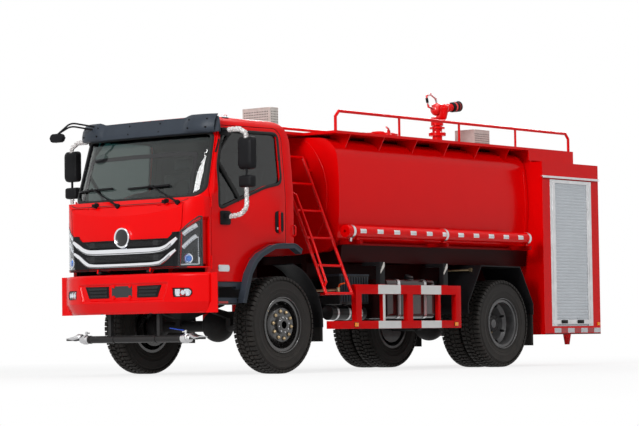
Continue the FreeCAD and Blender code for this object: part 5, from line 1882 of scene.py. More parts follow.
    def fog_lamps(self) -> None:
        """Make the fog lamps in their pockets."""
        shape = [(0.700, 0.886), (0.856, 0.885), (0.878, 0.868), (0.884, 0.850), (0.876, 0.826),
                 (0.862, 0.808), (0.716, 0.804), (0.700, 0.830)]
        bowl, lens, rim = Stock(), Stock(), Stock()
        for side in (1, -1):
            for stock, back, front in ((bowl, 0.030, 0.020), (lens, 0.004, 0.001)):
                loops = [[Vector((*self.place_at(side * y, depth), z)) for y, z in shape]
                         for depth in (back, front)]
                stock.rings(loops)
            outs = []
            points = []
            for y, z in spaced([Vector(p) for p in shape], 0.03):
                points.append(Vector((*self.place_at(side * y, 0.003), z)))
                outs.append(Vector((1.0, side * 0.35, 0.0)).normalized())
            rim.swept(points, strip_profile(0.008, 0.004, 0.02), outs, closed=True)
            for y in (0.745, 0.80, 0.846):
                centre = Vector((*self.place_at(side * y, 0.020), 0.846))
                bowl.turned([(-0.004, 0.0), (-0.004, 0.024), (0.008, 0.024), (0.002, 0.014), (0.0, 0.0)],
                            centre, (1, side * 0.35, 0), 18)
        bowl.piece("fog_lamp_bowls", CHROME, Body.CHASSIS, Slot.CHROME)
        rim.piece("fog_lamp_rims", BLACK_MOULDING, Body.CHASSIS, Slot.BLACK_PLASTIC)
        lens.piece("fog_lamp_lenses", CLEAR_LENS, Body.CHASSIS, Slot.LAMP)


@dataclass
class SprayBar:
    """The valves, levers and fan nozzles at the ends of the spray pipe under the bumper."""

    x: float = 3.435
    z: float = 0.381

    def build(self) -> None:
        """Make both ends."""
        bright, grips, collars = Stock(), Stock(), Stock()
        for side in (1, -1):
            at = Vector((self.x, side * 0.70, self.z))
            along = Vector((0, side, 0))
            bright.turned([(-0.03, 0.0), (-0.03, 0.043), (0.0, 0.043), (0.004, 0.050), (0.040, 0.050),
                           (0.044, 0.040), (0.075, 0.040), (0.09, 0.034), (0.10, 0.0)], at, along, 24)
            nozzle = []
            for t, w, h, dx in ((0.78, 0.030, 0.030, 0.0), (0.82, 0.046, 0.034, 0.004),
                                (0.87, 0.052, 0.028, 0.008), (0.91, 0.062, 0.019, 0.006),
                                (0.95, 0.072, 0.011, 0.0)):
                centre = Vector((self.x + dx, side * t, self.z + (0.03 if t < 0.86 else 0.012)))
                nozzle.append([centre + Vector((w * math.cos(a), 0, h * math.sin(a)))
                               for a in grid(0, 2 * math.pi * 17 / 18, 18)])
            bright.rings(nozzle)
            bright.turned(rod(-0.03, 0.05, 0.012), (self.x, side * 0.715, self.z + 0.035), (0, 0, 1), 12)
            bright.block((self.x - 0.02, side * 0.70 - 0.018, self.z + 0.062),
                         (self.x + 0.02, side * 0.70 + 0.018, self.z + 0.076), 0.004)
            if side > 0:
                grips.swept([(self.x + 0.01, 0.70, self.z + 0.083), (self.x + 0.03, 0.62, self.z + 0.094),
                             (self.x + 0.05, 0.545, self.z + 0.106)], ring_profile(0.011, 8, 0.5))
            for y in (0.655, 0.30):
                collars.turned(pipe(-0.012, 0.012, 0.034, 0.043), (self.x, side * y, self.z), (0, 1, 0), 24)
        bright.piece("spray_valves_and_nozzles", BRIGHT_STEEL, Body.CHASSIS, Slot.SILVER)
        grips.piece("spray_valve_grip", BLUE_HANDLE, Body.CHASSIS, Slot.BLACK_PLASTIC)
        collars.piece("spray_pipe_collars", BLACK, Body.CHASSIS, Slot.BLACK_STEEL)


# ---------------------------------------------------------------- wheels
@dataclass(frozen=True)
class WheelPlace:
    """Where one road wheel stands."""

    name: str
    body: str
    x: float
    tyres: tuple[float, ...]
    side: float
    front: bool


@dataclass
class Tyres:
    """Block-tread tyres on carcasses with ribbed walls."""

    radius: float = WHEEL_HEIGHT
    height: float = WHEEL_HEIGHT
    carcass: float = 0.492
    half: float = 0.1295
    pitches: int = 58

    def wall(self) -> list[tuple[float, float]]:
        """Half of the carcass's section, from the bead out to the tread's middle.

        Returns:
            The section's points: across, then radius.
        """
        h = self.half
        return [(0.092, 0.263), (0.108, 0.268), (0.117, 0.288), (0.1175, 0.297), (0.1215, 0.300),
                (0.1225, 0.306), (0.1205, 0.309), (0.1245, 0.330), (0.1265, 0.332), (0.1265, 0.337),
                (0.1250, 0.339), (h - 0.001, 0.372), (h, 0.374), (h, 0.379), (h - 0.0015, 0.381),
                (h - 0.0015, 0.414), (h - 0.0010, 0.436), (h - 0.0005, 0.438), (h - 0.0010, 0.443),
                (h - 0.0045, 0.445), (0.116, 0.468), (0.104, 0.484), (0.060, self.carcass),
                (0.0, self.carcass + 0.001)]

    def lug(self, section: Sequence[Point], half_long: float, skew: float, shift: float, stock: Stock
            ) -> None:
        """Add one tread lug at the top of the wheel.

        Args:
            section: Its outline across the tyre: across, then radius.
            half_long: Half its length round the tyre.
            skew: How much its slant moves it round the tyre per metre across.
            shift: Where it sits round the pitch.
            stock: The stock to add to.
        """
        base = section[0][0]
        loops = []
        for end in (-1.0, 1.0):
            loop = []
            for y, r in section:
                taper = 0.004 * (r - self.carcass) / 0.017 if r > self.carcass else 0.0
                x = end * (half_long - taper) + shift + skew * abs(y - base)
                loop.append(Vector((x, y, math.sqrt(r * r - x * x))))
            loops.append(loop)
        stock.rings(loops)

    def tread(self) -> Stock:
        """One pitch of the tread, at the top of the wheel.

        Returns:
            The stock of one pitch.
        """
        r, s = self.radius, self.carcass
        pitch = 2 * math.pi * r / self.pitches
        stock = Stock()
        shoulder = [(0.062, s - 0.006), (0.062, r), (0.104, r - 0.002), (0.120, r - 0.009), (0.1288, 0.486),
                    (0.1288, 0.470), (0.118, 0.470), (0.100, 0.480)]
        middle = [(0.004, s - 0.006), (0.004, r - 0.0002), (0.052, r), (0.052, s - 0.006)]
        for side, shift in ((1.0, 0.0), (-1.0, pitch / 2)):
            self.lug([(side * y, q) for y, q in shoulder], pitch * 0.39, 0.10, shift, stock)
            self.lug([(side * y, q) for y, q in middle], pitch * 0.36, -0.35, shift + pitch * 0.24, stock)
        return stock

    def build(self, place: WheelPlace) -> None:
        """Make one wheel's tyres.

        Args:
            place: Where the wheel stands.
        """
        body = Stock()
        half = self.wall()
        section = [(-y, r) for y, r in half[:-1]] + half[::-1]
        for y in place.tyres:
            body.turned(section, (place.x, y, self.height), (0, 1, 0), 84)
        node = ("front_tyre_" if place.front else "rear_tyres_") + place.name[-5:].strip("_")
        stem = place.name + "_tyre"
        body.piece(stem + "_carcass", TYRE, place.body, Slot.TYRE, 24.0, (node,))
        for number, y in enumerate(place.tyres, 1):
            ring(f"{stem}_{number}_tread", self.tread(), TYRE, place.body, Slot.TYRE,
                 (place.x, y, self.height), self.pitches, Phase=0.01 * number, crease=24.0)


@dataclass
class WheelNuts:
    """Nuts, hub caps, valves and lock rings on the rims; pairs of values are rear, then front."""

    ring_radius: float = 0.1429
    count: int = 10
    height: float = WHEEL_HEIGHT
    nut_faces: tuple[float, float] = (0.831, 1.0475)
    hub_faces: tuple[float, float] = (0.950, 1.070)
    valve_faces: tuple[float, float] = (1.035, 1.045)
    lip_reach: float = 0.1225

    def nut(self, side: float, size: float = 0.019) -> Stock:
        """One domed wheel nut, at the top of its ring.

        Args:
            side: 1 for the left, -1 for the right.
            size: Half its width over the corners.

        Returns:
            The stock of one nut.
        """
        stock = Stock()
        out = (0, side, 0)
        r = self.ring_radius
        stock.turned([(-0.003, 0.0), (-0.003, size), (0.013, size), (0.017, size * 0.74), (0.017, 0.0)],
                     (0, 0, r), out, 6)
        stock.turned([(0.012, 0.0), (0.012, 0.0125), (0.019, 0.0120), (0.024, 0.0085), (0.026, 0.0)],
                     (0, 0, r), out, 12)
        return stock

    def build(self, place: WheelPlace) -> None:
        """Dress one wheel's rim.

        Args:
            place: Where the wheel stands.
        """
        slot = Slot.RIM_FRONT if place.front else Slot.RIM_REAR
        centre = (place.x, place.side * self.nut_faces[place.front], self.height)
        ring(place.name + "_nuts", self.nut(place.side), BRASS, place.body, Slot.SILVER, centre, self.count,
             Phase=0.18, Jitter=0.006, Seed=3)
        seat = Stock().turned([(-0.004, 0.0), (-0.004, 0.031), (0.0012, 0.031), (0.0028, 0.027),
                               (0.0016, 0.0225), (0.0010, 0.0)], (0, 0, self.ring_radius),
                              (0, place.side, 0), 18)
        ring(place.name + "_nut_seats", seat, PIANO_BLACK, place.body, slot, centre, self.count, Phase=0.18)
        hub = self.hub_faces[place.front]
        cap = Stock()
        middle = (place.x, place.side * hub, self.height)
        out = (0, place.side, 0)
        if place.front:
            cap.turned([(-0.006, 0.0), (-0.006, 0.090), (0.002, 0.090), (0.004, 0.086), (0.004, 0.066),
                        (0.0115, 0.061), (0.0125, 0.052), (0.010, 0.040), (0.010, 0.0)], middle, out, 40)
        else:
            cap.turned([(-0.012, 0.060), (-0.012, 0.097), (0.004, 0.097), (0.008, 0.092), (0.008, 0.058),
                        (0.002, 0.050), (-0.02, 0.050), (-0.02, 0.0), (-0.03, 0.0), (-0.03, 0.060)], middle,
                       out, 40)
        cap.piece(place.name + "_hub_cap", RIM_BLACK if place.front else CAST, place.body, slot)
        screw = Stock().turned([(-0.002, 0.0), (-0.002, 0.0085), (0.009, 0.0085), (0.011, 0.006),
                                (0.011, 0.0)], (0, 0, 0.078), out, 6)
        ring(place.name + "_hub_screws", screw, BRIGHT_STEEL if place.front else CAST, place.body,
             Slot.SILVER, (place.x, place.side * (hub + 0.002), self.height), 8, Phase=0.2)
        valve = Stock()
        outer = place.side * self.valve_faces[place.front]
        start = Vector((place.x + 0.19, outer - place.side * 0.03, self.height + 0.13))
        valve.tube([start, start + Vector((0.014, place.side * 0.028, 0.010)),
                    start + Vector((0.034, place.side * 0.034, 0.023))], 0.0045, 8)
        valve.piece(place.name + "_valve", BRASS, place.body, Slot.SILVER)
        edge = (place.x, place.side * (abs(place.tyres[0]) + self.lip_reach), self.height)
        lip = Stock().turned([(-0.012, 0.286), (-0.012, 0.2925), (0.0, 0.2945), (0.006, 0.2925),
                              (0.008, 0.288), (0.005, 0.284), (-0.004, 0.2835)], edge, out, 72)
        lip.piece(place.name + "_lock_ring", RIM_BLACK if place.front else RIM_GREY, place.body, slot)


@dataclass
class Wheels:
    """All road wheels."""

    places: tuple[WheelPlace, ...] = (
        WheelPlace("wheel_front_left", "wheel_fl", 2.325, (0.9355,), 1.0, True),
        WheelPlace("wheel_front_right", "wheel_fr", 2.325, (-0.9355,), -1.0, True),
        WheelPlace("wheels_rear_left", "wheel_rl", -1.59, (0.960, 0.670), 1.0, False),
        WheelPlace("wheels_rear_right", "wheel_rr", -1.59, (-0.960, -0.670), -1.0, False))
    tyres: Tyres = field(default_factory=Tyres)
    nuts: WheelNuts = field(default_factory=WheelNuts)

    def build(self) -> None:
        """Dress every wheel."""
        for place in self.places:
            self.tyres.build(place)
            self.nuts.build(place)


# ---------------------------------------------------------------- doors, mirrors and steps
@dataclass
class Doors:
    """Window seals, handles, marker lamps and mirror bases on the doors."""

    window: tuple[tuple[float, float], ...] = (
        (2.227, 2.000), (2.485, 1.957), (3.177, 1.709), (3.170, 2.150), (3.060, 2.500), (2.227, 2.511))
    skin_y: float = 0.976

    def build(self) -> None:
        """Dress both doors."""
        for name, side in SIDES:
            self.dress("door_" + name, "door_l" if side > 0 else "door_r", side)

    def edge(self, by: float) -> list[Vector]:
        """The window's outline moved by a distance and rounded.

        Args:
            by: How far it is moved.

        Returns:
            The outline's points.
        """
        middle = Vector((2.72, 2.16))
        moved = [Vector(p) + (Vector(p) - middle).normalized() * by for p in self.window]
        return spaced(rounded(moved, 0.07), 0.06)

    def dress(self, door: str, body: str, side: float) -> None:
        """Fit one door's pieces.

        Args:
            door: The door's node.
            body: The door's body.
            side: 1 for the left, -1 for the right.
        """
        skin = Skin(door)
        seal = Stock()
        skin.strip(seal, [skin.beside(p.x, p.y, side) for p in self.edge(0.018)],
                   crown_profile(0.032, 0.007, 0.006), closed=True)
        skin.strip(seal, [skin.beside(2.93, z, side) for z in grid(1.86, 2.505, 6)],
                   strip_profile(0.020, 0.004, 0.030))
        seal.piece(door + "_window_seal", RUBBER, body, Slot.RUBBER)
        handle = Stock()
        wall = side * self.skin_y
        cup = rounded(oblong(2.205, 1.471, 2.325, 1.702), 0.045)
        handle.plate(cup, Axis.Y, wall - side * 0.012, wall + side * 0.006, 0.003)
        grip = rounded(oblong(2.222, 1.485, 2.262, 1.690), 0.018)
        handle.plate(grip, Axis.Y, wall, wall + side * 0.026, 0.006)
        handle.piece(door + "_handle", BLACK_MOULDING, body, Slot.BLACK_PLASTIC)
        lock = Stock().turned(rod(-0.004, 0.003, 0.013),
                              (2.295, wall + side * 0.006, 1.52), (0, side, 0), 16)
        lock.piece(door + "_lock", BRIGHT_STEEL, body, Slot.SILVER)
        lamp, base = Stock(), Stock()
        outline = rounded(oblong(3.052, 1.062, 3.214, 1.121), 0.02)
        lamp.plate(outline, Axis.Y, wall - side * 0.016, wall + side * 0.006, 0.004)
        lamp.piece(door + "_marker_lens", CLEAR_LENS, body, Slot.LAMP)
        base.plate(rounded(oblong(3.048, 1.058, 3.218, 1.125), 0.02),
                   Axis.Y, wall - side * 0.018, wall - side * 0.001, 0.002)
        base.turned([(-0.02, 0.0), (-0.02, 0.016), (0.003, 0.012), (0.004, 0.0)], (3.10, wall, 1.09),
                    (0, side, 0), 14)
        base.piece(door + "_marker_base", BRIGHT_STEEL, body, Slot.SILVER)
        bases = Stock()
        for low, high in (((3.035, 1.535), (3.182, 1.678)), ((3.02, 2.455), (3.13, 2.535))):
            shape = rounded([low, (high[0], low[1]), high, (low[0], high[1])], 0.02)
            bases.plate(shape, Axis.Y, side * 0.925, side * (0.990 if low[1] < 2 else 0.965), 0.006)
        bases.block((3.10 - 0.03, min(side * 0.96, side * 1.04), 1.60),
                    (3.10 + 0.03, max(side * 0.96, side * 1.04), 1.66), 0.010)
        bases.piece(door + "_mirror_bases", BLACK_MOULDING, body, Slot.BLACK_PLASTIC)


@dataclass
class Mirrors:
    """Rounded mirror heads with glass, and arms wrapped in film."""

    x: float = 3.092
    y: float = 1.262

    def build(self) -> None:
        """Make both door mirrors and the kerb mirror's glass."""
        for name, side in SIDES:
            self.pair("mirror_" + name, "door_l" if side > 0 else "door_r", side)
        self.kerb()

    def head(self, stock: Stock, centre: Point, size: Point) -> None:
        """Add one rounded head: a curved shell that thins towards its rim.

        Args:
            stock: The stock to add to.
            centre: The head's middle.
            size: Its width, depth and height.
        """
        loops = []
        w, h, d = size[0] / 2, size[2] / 2, size[1]
        for t, grow in ((-0.5, 0.93), (-0.46, 0.985), (-0.30, 1.0), (0.10, 0.97), (0.35, 0.86), (0.48, 0.66),
                        (0.5, 0.45)):
            outline = rounded(oblong(-w * grow, -h * grow, w * grow, h * grow), min(w, h) * 0.42 * grow, 5)
            loops.append([Vector((centre[0] + t * d, centre[1] + p.x, centre[2] + p.y)) for p in outline])
        stock.rings(loops)

    def pair(self, name: str, body: str, side: float) -> None:
        """Make one door's two mirrors and their arms.

        Args:
            name: The mirror's node.
            body: The door's body.
            side: 1 for the left, -1 for the right.
        """
        y = side * self.y
        heads, glass, arms, film = Stock(), Stock(), Stock(), Stock()
        self.head(heads, (self.x, y, 2.256), (0.206, 0.084, 0.334))
        self.head(heads, (self.x, y, 1.968), (0.186, 0.080, 0.124))
        for z, w, h in ((2.256, 0.086, 0.148), (1.968, 0.076, 0.046)):
            outline = rounded(oblong(y - w, z - h, y + w, z + h), 0.03)
            glass.plate(outline, Axis.X, self.x - 0.0435, self.x - 0.036)
        bar = [(self.x, y, 1.88), (self.x, y, 2.44)]
        top = [(self.x, side * 0.935, 2.508), (self.x, side * 1.18, 2.508), (self.x, y, 2.452),
               (self.x, y, 2.40)]
        low = [(self.x, y, 1.90), (self.x, y, 1.70), (self.x, side * 1.19, 1.632),
               (self.x, side * 0.985, 1.615)]
        arms.tube(bar, 0.013, 12)
        arms.tube(top, 0.0155, 12, 0.06)
        arms.tube(low, 0.0155, 12, 0.06)
        arms.piece(name + "_arms", BLACK_MOULDING, body, Slot.BLACK_PLASTIC, replaces=(name,))
        heads.piece(name + "_heads", BLACK_MOULDING, body, Slot.BLACK_PLASTIC)
        glass.piece(name + "_glass", CHROME, body, Slot.CHROME)
        for number, line in enumerate((top, low)):
            path = rounded(line, 0.07, 6, closed=False)
            path = spaced(path, 0.013, closed=False)
            path = [p for p in path if abs(p.y) > 1.01]
            for i in range(len(path) - 2):
                wobble = 0.0035 * math.sin(i * 2.3 + number) + 0.0025 * math.sin(i * 5.1)
                path[i] = path[i] + Vector((0, 0, wobble))
            folds = [(FILM_RADIUS * math.cos(a) * (1 + 0.12 * math.sin(3 * a)),
                      FILM_RADIUS * math.sin(a) * (1 + 0.12 * math.cos(4 * a)))
                     for a in grid(0, 6.28 * 11 / 12, 12)]
            film.swept(path, folds,
                       scale=lambda t: 1.0 + 0.10 * math.sin(t * 61.0) + 0.07 * math.sin(t * 143.0))
        film.piece(name + "_arm_film", CRINKLED_FILM, body, Slot.BLACK_PLASTIC, crease=70.0)

    def kerb(self) -> None:
        """Make the kerb mirror's rounded shell, both arms and its glass."""
        stock, glass = Stock(), Stock()
        outline = rounded(oblong(-1.13, 2.482, -0.942, 2.573), 0.042, 7)
        stock.plate(outline, Axis.X, 3.497, 3.553, 0.018)
        for lift in (0.0, -0.035):
            stock.tube([(3.235, -0.72, 2.640 + lift), (3.50, -0.86, 2.682 + lift), (3.522, -1.03, 2.572)],
                       0.0095, 10, 0.06)
        stock.piece("kerb_mirror_shell", BLACK_MOULDING, Body.CAB, Slot.BLACK_PLASTIC,
                    replaces=("kerb_mirror",))
        shape = rounded(oblong(-1.118, 2.492, -0.954, 2.563), 0.034, 7)
        glass.plate(shape, Axis.X, 3.4945, 3.499)
        glass.piece("kerb_mirror_glass", CHROME, Body.CAB, Slot.CHROME)


@dataclass
class CabSides:
    """The sun visor, steps, flares, roof lamps, loops and the cab's soft parts."""

    def build(self) -> None:
        """Make every piece."""
        self.visor()
        self.steps()
        self.roof()
        for name, side in SIDES:
            self.seat(name, side)

    def visor(self) -> None:
        """Make the moulded visor with raised lobes, ribs and rivets."""
        skin = Skin("sun_visor")
        stock, rivets = Stock(), Stock()
        ys = sorted(set(grid(-0.955, 0.955, 40) + [-0.60, -0.585, 0.585, 0.60]))
        levels = [2.487, 2.500, 2.512, 2.54, 2.585, 2.625, 2.640, 2.650]
        tops = []
        for z in levels:
            row = []
            for y in ys:
                lobe = min(1.0, max(0.0, (abs(y) - 0.56) / 0.10))
                lobe = lobe * lobe * (3 - 2 * lobe)
                spot = skin.ahead(y, min(2.640, max(2.497, z)))
                share = (z - 2.487) / 0.163
                height = 0.008 + 0.032 * lobe * math.sin(math.pi * min(1.0, max(0.0, share))) ** 0.6
                if 0.15 < share < 0.8:
                    height += 0.004
                row.append(Spot(Vector((spot.at.x + height, y, z + 0.026 * lobe * share)), spot.out))
            tops.append(row)
        laid_plate(stock, tops, 0.0, 0.030)
        stock.piece("sun_visor_skin", GREY_MOULDING, Body.CAB, Slot.GREY_PLASTIC)
        for y in (-0.88, -0.66, -0.20, 0.24, 0.66, 0.88):
            for z in (2.525, 2.612):
                spot = skin.ahead(y, z)
                lobe = 0.030 if abs(y) > 0.6 else 0.0
                rivets.turned([(-0.01, 0.0), (-0.01, 0.010), (0.003, 0.009), (0.0045, 0.005), (0.0045, 0.0)],
                              spot.at + Vector((0.011 + lobe, 0, 0.010 * (lobe > 0))), (1, 0, 0), 12)
        rivets.piece("sun_visor_rivets", BLACK_MOULDING, Body.CAB, Slot.BLACK_PLASTIC)

    def steps(self) -> None:
        """Ribbed treads, step reflectors and flare lips."""
        treads, lips, reflectors = Stock(), Stock(), Stock()
        arc = [(2.932, 0.737), (2.833, 1.046), (2.738, 1.181), (2.643, 1.255), (2.420, 1.347),
               (2.098, 1.360), (1.990, 1.299)]
        for side in (1.0, -1.0):
            for x in grid(2.99, 3.30, 9):
                treads.block((x - 0.008, min(side * 0.922, side * 0.978), 0.905),
                             (x + 0.008, max(side * 0.922, side * 0.978), 0.951), 0.003)
            path = rounded([(x, side * 1.052, z) for x, z in arc], 0.08, 5, closed=False)
            lips.swept(path, strip_profile(0.016, 0.012, 0.012), [Vector((0, side, 0))] * len(path))
            reflectors.plate(oblong(3.088, 0.732, 3.236, 0.754), Axis.Y, side * 0.972, side * 0.989, 0.003)
        treads.piece("step_treads", BLACK_MOULDING, Body.CAB, Slot.BLACK_PLASTIC)
        lips.piece("flare_lips", GREY_MOULDING, Body.CAB, Slot.GREY_PLASTIC)
        reflectors.piece("step_reflectors", TAPE_RED, Body.CAB, Slot.LAMP)

    def roof(self) -> None:
        """Marker lamps, pillar strips and grab loops."""
        lamps, bases, strips, loops = Stock(), Stock(), Stock(), Stock()
        for side in (1.0, -1.0):
            centre = Vector((2.957, side * 0.84, 2.652))
            bases.block(centre - Vector((0.045, 0.024, 0.02)), centre + Vector((0.045, 0.024, 0.004)),
                        0.004)
            lamps.block(centre - Vector((0.036, 0.018, 0.0)), centre + Vector((0.036, 0.018, 0.032)), 0.010)
            skin = Skin("cab_shell", "door_left", "door_right")
            line = [skin.beside(3.196 - 0.058 * t, 2.279 + 0.136 * t, side) for t in grid(0, 1, 5)]
            skin.strip(strips, line, crown_profile(0.020, 0.007))
            loops.tube([(2.04, side * 0.955, 1.44), (2.025, side * 1.0, 1.45), (2.025, side * 1.0, 1.55),
                        (2.04, side * 0.955, 1.56)], 0.008, 10, 0.02)
        bases.piece("roof_lamp_bases", BLACK_MOULDING, Body.CAB, Slot.BLACK_PLASTIC)
        lamps.piece("roof_lamp_lenses", CLEAR_LENS, Body.CAB, Slot.LAMP)
        strips.piece("pillar_strips", BLACK_MOULDING, Body.CAB, Slot.BLACK_PLASTIC)
        loops.piece("cab_rear_loops", RED, Body.CAB, Slot.RED)

    def seat(self, name: str, side: float) -> None:
        """Make one seat: padded cushion, back and headrest on a plain base.

        Args:
            name: Which seat it is.
            side: 1 for the left, -1 for the right.
        """
        y = side * 0.45
        base = Stock().block((2.29, y - 0.19, 1.407), (2.74, y + 0.19, 1.52), 0.01)
        base.piece("seat_base_" + name, BLACK_MOULDING, Body.CAB, Slot.BLACK_PLASTIC,
                   replaces=("seats",) if side > 0 else ())
        parts = {"cushion": [(2.25, 1.528), (2.775, 1.528), (2.785, 1.60), (2.75, 1.628), (2.25, 1.622)],
                 "back": [(2.225, 1.575), (2.345, 1.60), (2.262, 2.185), (2.145, 2.185)],
                 "headrest": [(2.145, 2.212), (2.222, 2.212), (2.215, 2.345), (2.150, 2.345)]}
        halves = {"cushion": 0.238, "back": 0.228, "headrest": 0.122}
        for part, outline in parts.items():
            stock = Stock().plate(outline, Axis.Y, y - halves[part], y + halves[part], 0.012)
            piece = stock.piece(f"seat_{part}_{name}", SEAT_CLOTH, Body.CAB, Slot.FABRIC)
            self.pad(piece, 0.018 if part != "headrest" else 0.012)

    @staticmethod
    def pad(piece: bpy.types.Object, limit: float) -> None:
        """Blow a seat part up with a cloth simulation, keeping each point near its start.

        Args:
            piece: The part's object.
            limit: How far a point may move.
        """
        remesh = piece.modifiers.new("grain", "REMESH")
        remesh.mode = "VOXEL"
        remesh.voxel_size = PAD_GRAIN
        graph = bpy.context.evaluated_depsgraph_get()
        fine = bpy.data.meshes.new_from_object(piece.evaluated_get(graph), depsgraph=graph)
        piece.modifiers.clear()
        piece.data = fine
        start = [v.co.copy() for v in fine.vertices]
        cloth = piece.modifiers.new("padding", "CLOTH")
        cloth.settings.use_pressure = True
        cloth.settings.uniform_pressure_force = PAD_PRESSURE
        cloth.settings.effector_weights.gravity = 0.0
        cloth.point_cache.frame_start, cloth.point_cache.frame_end = 1, PAD_FRAMES
        scene = bpy.context.scene
        for step in range(1, PAD_FRAMES + 1):
            scene.frame_set(step)
        graph = bpy.context.evaluated_depsgraph_get()
        blown = bpy.data.meshes.new_from_object(piece.evaluated_get(graph), depsgraph=graph)
        moved = [v.co.copy() for v in blown.vertices]
        piece.modifiers.clear()
        bpy.data.meshes.remove(blown)
        scene.frame_set(1)
        for vertex, first, last in zip(fine.vertices, start, moved):
            shift = last - first
            vertex.co = first + (shift if shift.length < limit else shift.normalized() * limit)
        for polygon in fine.polygons:
            polygon.use_smooth = True
        if not fine.materials:
            fine.materials.append(SEAT_CLOTH.material())


# ---------------------------------------------------------------- tank and sides
@dataclass
class SideGuards:
    """White bands, amber lamps and thin light galvanised strips on the side guards; the strips are a painted
    highlight along the hangers' top edges.
    """

    face: float = 1.124

    def build(self) -> None:
        """Dress both guards."""
        bands, lamps, bases, straps = Stock(), Stock(), Stock(), Stock()
        for side in (1.0, -1.0):
            near, far = side * (self.face - 0.002), side * (self.face + 0.0012)
            for x0, x1 in ((0.395, 0.795), (-0.345, 0.025)):
                for z0, z1 in ((0.839, 0.939), (0.463, 0.545)):
                    bands.plate(oblong(x0, z0, x1, z1), Axis.Y, near, far)
            bands.plate(oblong(0.656, 0.547, 0.698, 0.837), Axis.Y, near - side * 0.014, far - side * 0.014)
            # Thin diagonal light strips on the hangers: a painted highlight that stands for their lit top
            # edges.
            for x in (0.715, -0.435):
                straps.plate([(x - 0.034, 1.138), (x + 0.036, 1.062), (x + 0.036, 1.086), (x - 0.018, 1.186),
                              (x - 0.034, 1.186)], Axis.Y, near, side * (self.face + 0.004), 0.001)
            for x in (1.183, -0.62):
                bases.plate(oblong(x - 0.034, 0.480, x + 0.034, 0.530), Axis.Y,
                            near, side * (self.face + 0.004), 0.002)
                lamps.plate(oblong(x - 0.028, 0.484, x + 0.028, 0.526), Axis.Y,
                            near, side * (self.face + 0.012), 0.004)
        bands.piece("guard_white_bands", LABEL_WHITE, Body.CHASSIS, Slot.RED)
        bases.piece("guard_lamp_bases", BLACK_MOULDING, Body.CHASSIS, Slot.BLACK_PLASTIC)
        lamps.piece("guard_amber_lamps", AMBER_BODY, Body.CHASSIS, Slot.LAMP)
        straps.piece("guard_hanger_plates", GALVANISED, Body.CHASSIS, Slot.SILVER)


@dataclass
class HoseTubes:
    """Red suction-hose tubes with white bands, steel clamps and end caps."""

    y: float = 1.101
    z: float = 1.512
    radius: float = 0.065
    front: float = 1.325
    rear: float = -2.075
    clamps: tuple[float, ...] = (1.235, -0.43, -2.06)
    bands: int = 11

    def build(self) -> None:
        """Dress both tubes."""
        clamps, caps = Stock(), Stock()
        for name, side in SIDES:
            patch = Stock()
            r = self.radius
            arc = grid(-0.30, 0.42, 7)
            loops = []
            for x in (-0.052, -0.050, 0.050, 0.052):
                grow = 0.0006 if abs(x) > 0.051 else 0.0016
                outer = [Vector((x, side * math.cos(a) * (r + grow),
                                 math.sin(a) * (r + grow))) for a in arc]
                inner = [Vector((x, side * math.cos(a) * (r - 0.002),
                                 math.sin(a) * (r - 0.002))) for a in reversed(arc)]
                loops.append(outer + inner)
            patch.rings(loops)
            step = (self.clamps[0] - self.clamps[-1] - 0.34) / (self.bands - 1)
            rows(f"hose_tube_bands_{name}", patch, TAPE_WHITE, Body.CHASSIS, Slot.RED,
                 (self.clamps[0] - 0.15, side * self.y, self.z), (-step, 0, 0), self.bands)
            for x in self.clamps:
                clamps.turned(pipe(-0.019, 0.019, r - 0.002, r + 0.0068),
                              (x, side * self.y, self.z), (1, 0, 0), 36)
                clamps.block((x - 0.016, side * self.y - 0.012, self.z - r - 0.045),
                             (x + 0.016, side * self.y + 0.012, self.z - r + 0.004), 0.003)
            for x, way in ((self.front, 1.0), (self.rear, -1.0)):
                caps.turned([(-0.06, r - 0.002), (-0.06, r + 0.004), (-0.004, r + 0.004), (0.001, r - 0.002),
                             (0.004, r * 0.6), (0.004, 0.0), (-0.002, 0.0), (-0.002, r * 0.5)],
                            (x, side * self.y, self.z), (way, 0, 0), 36)
                caps.turned([(0.002, 0.0), (0.002, 0.012), (0.004, 0.014), (0.004, 0.0)],
                            (x, side * self.y, self.z), (way, 0, 0), 12)
        clamps.piece("hose_tube_clamps", BRIGHT_STEEL, Body.CHASSIS, Slot.SILVER)
        caps.piece("hose_tube_caps", RED, Body.CHASSIS, Slot.RED)


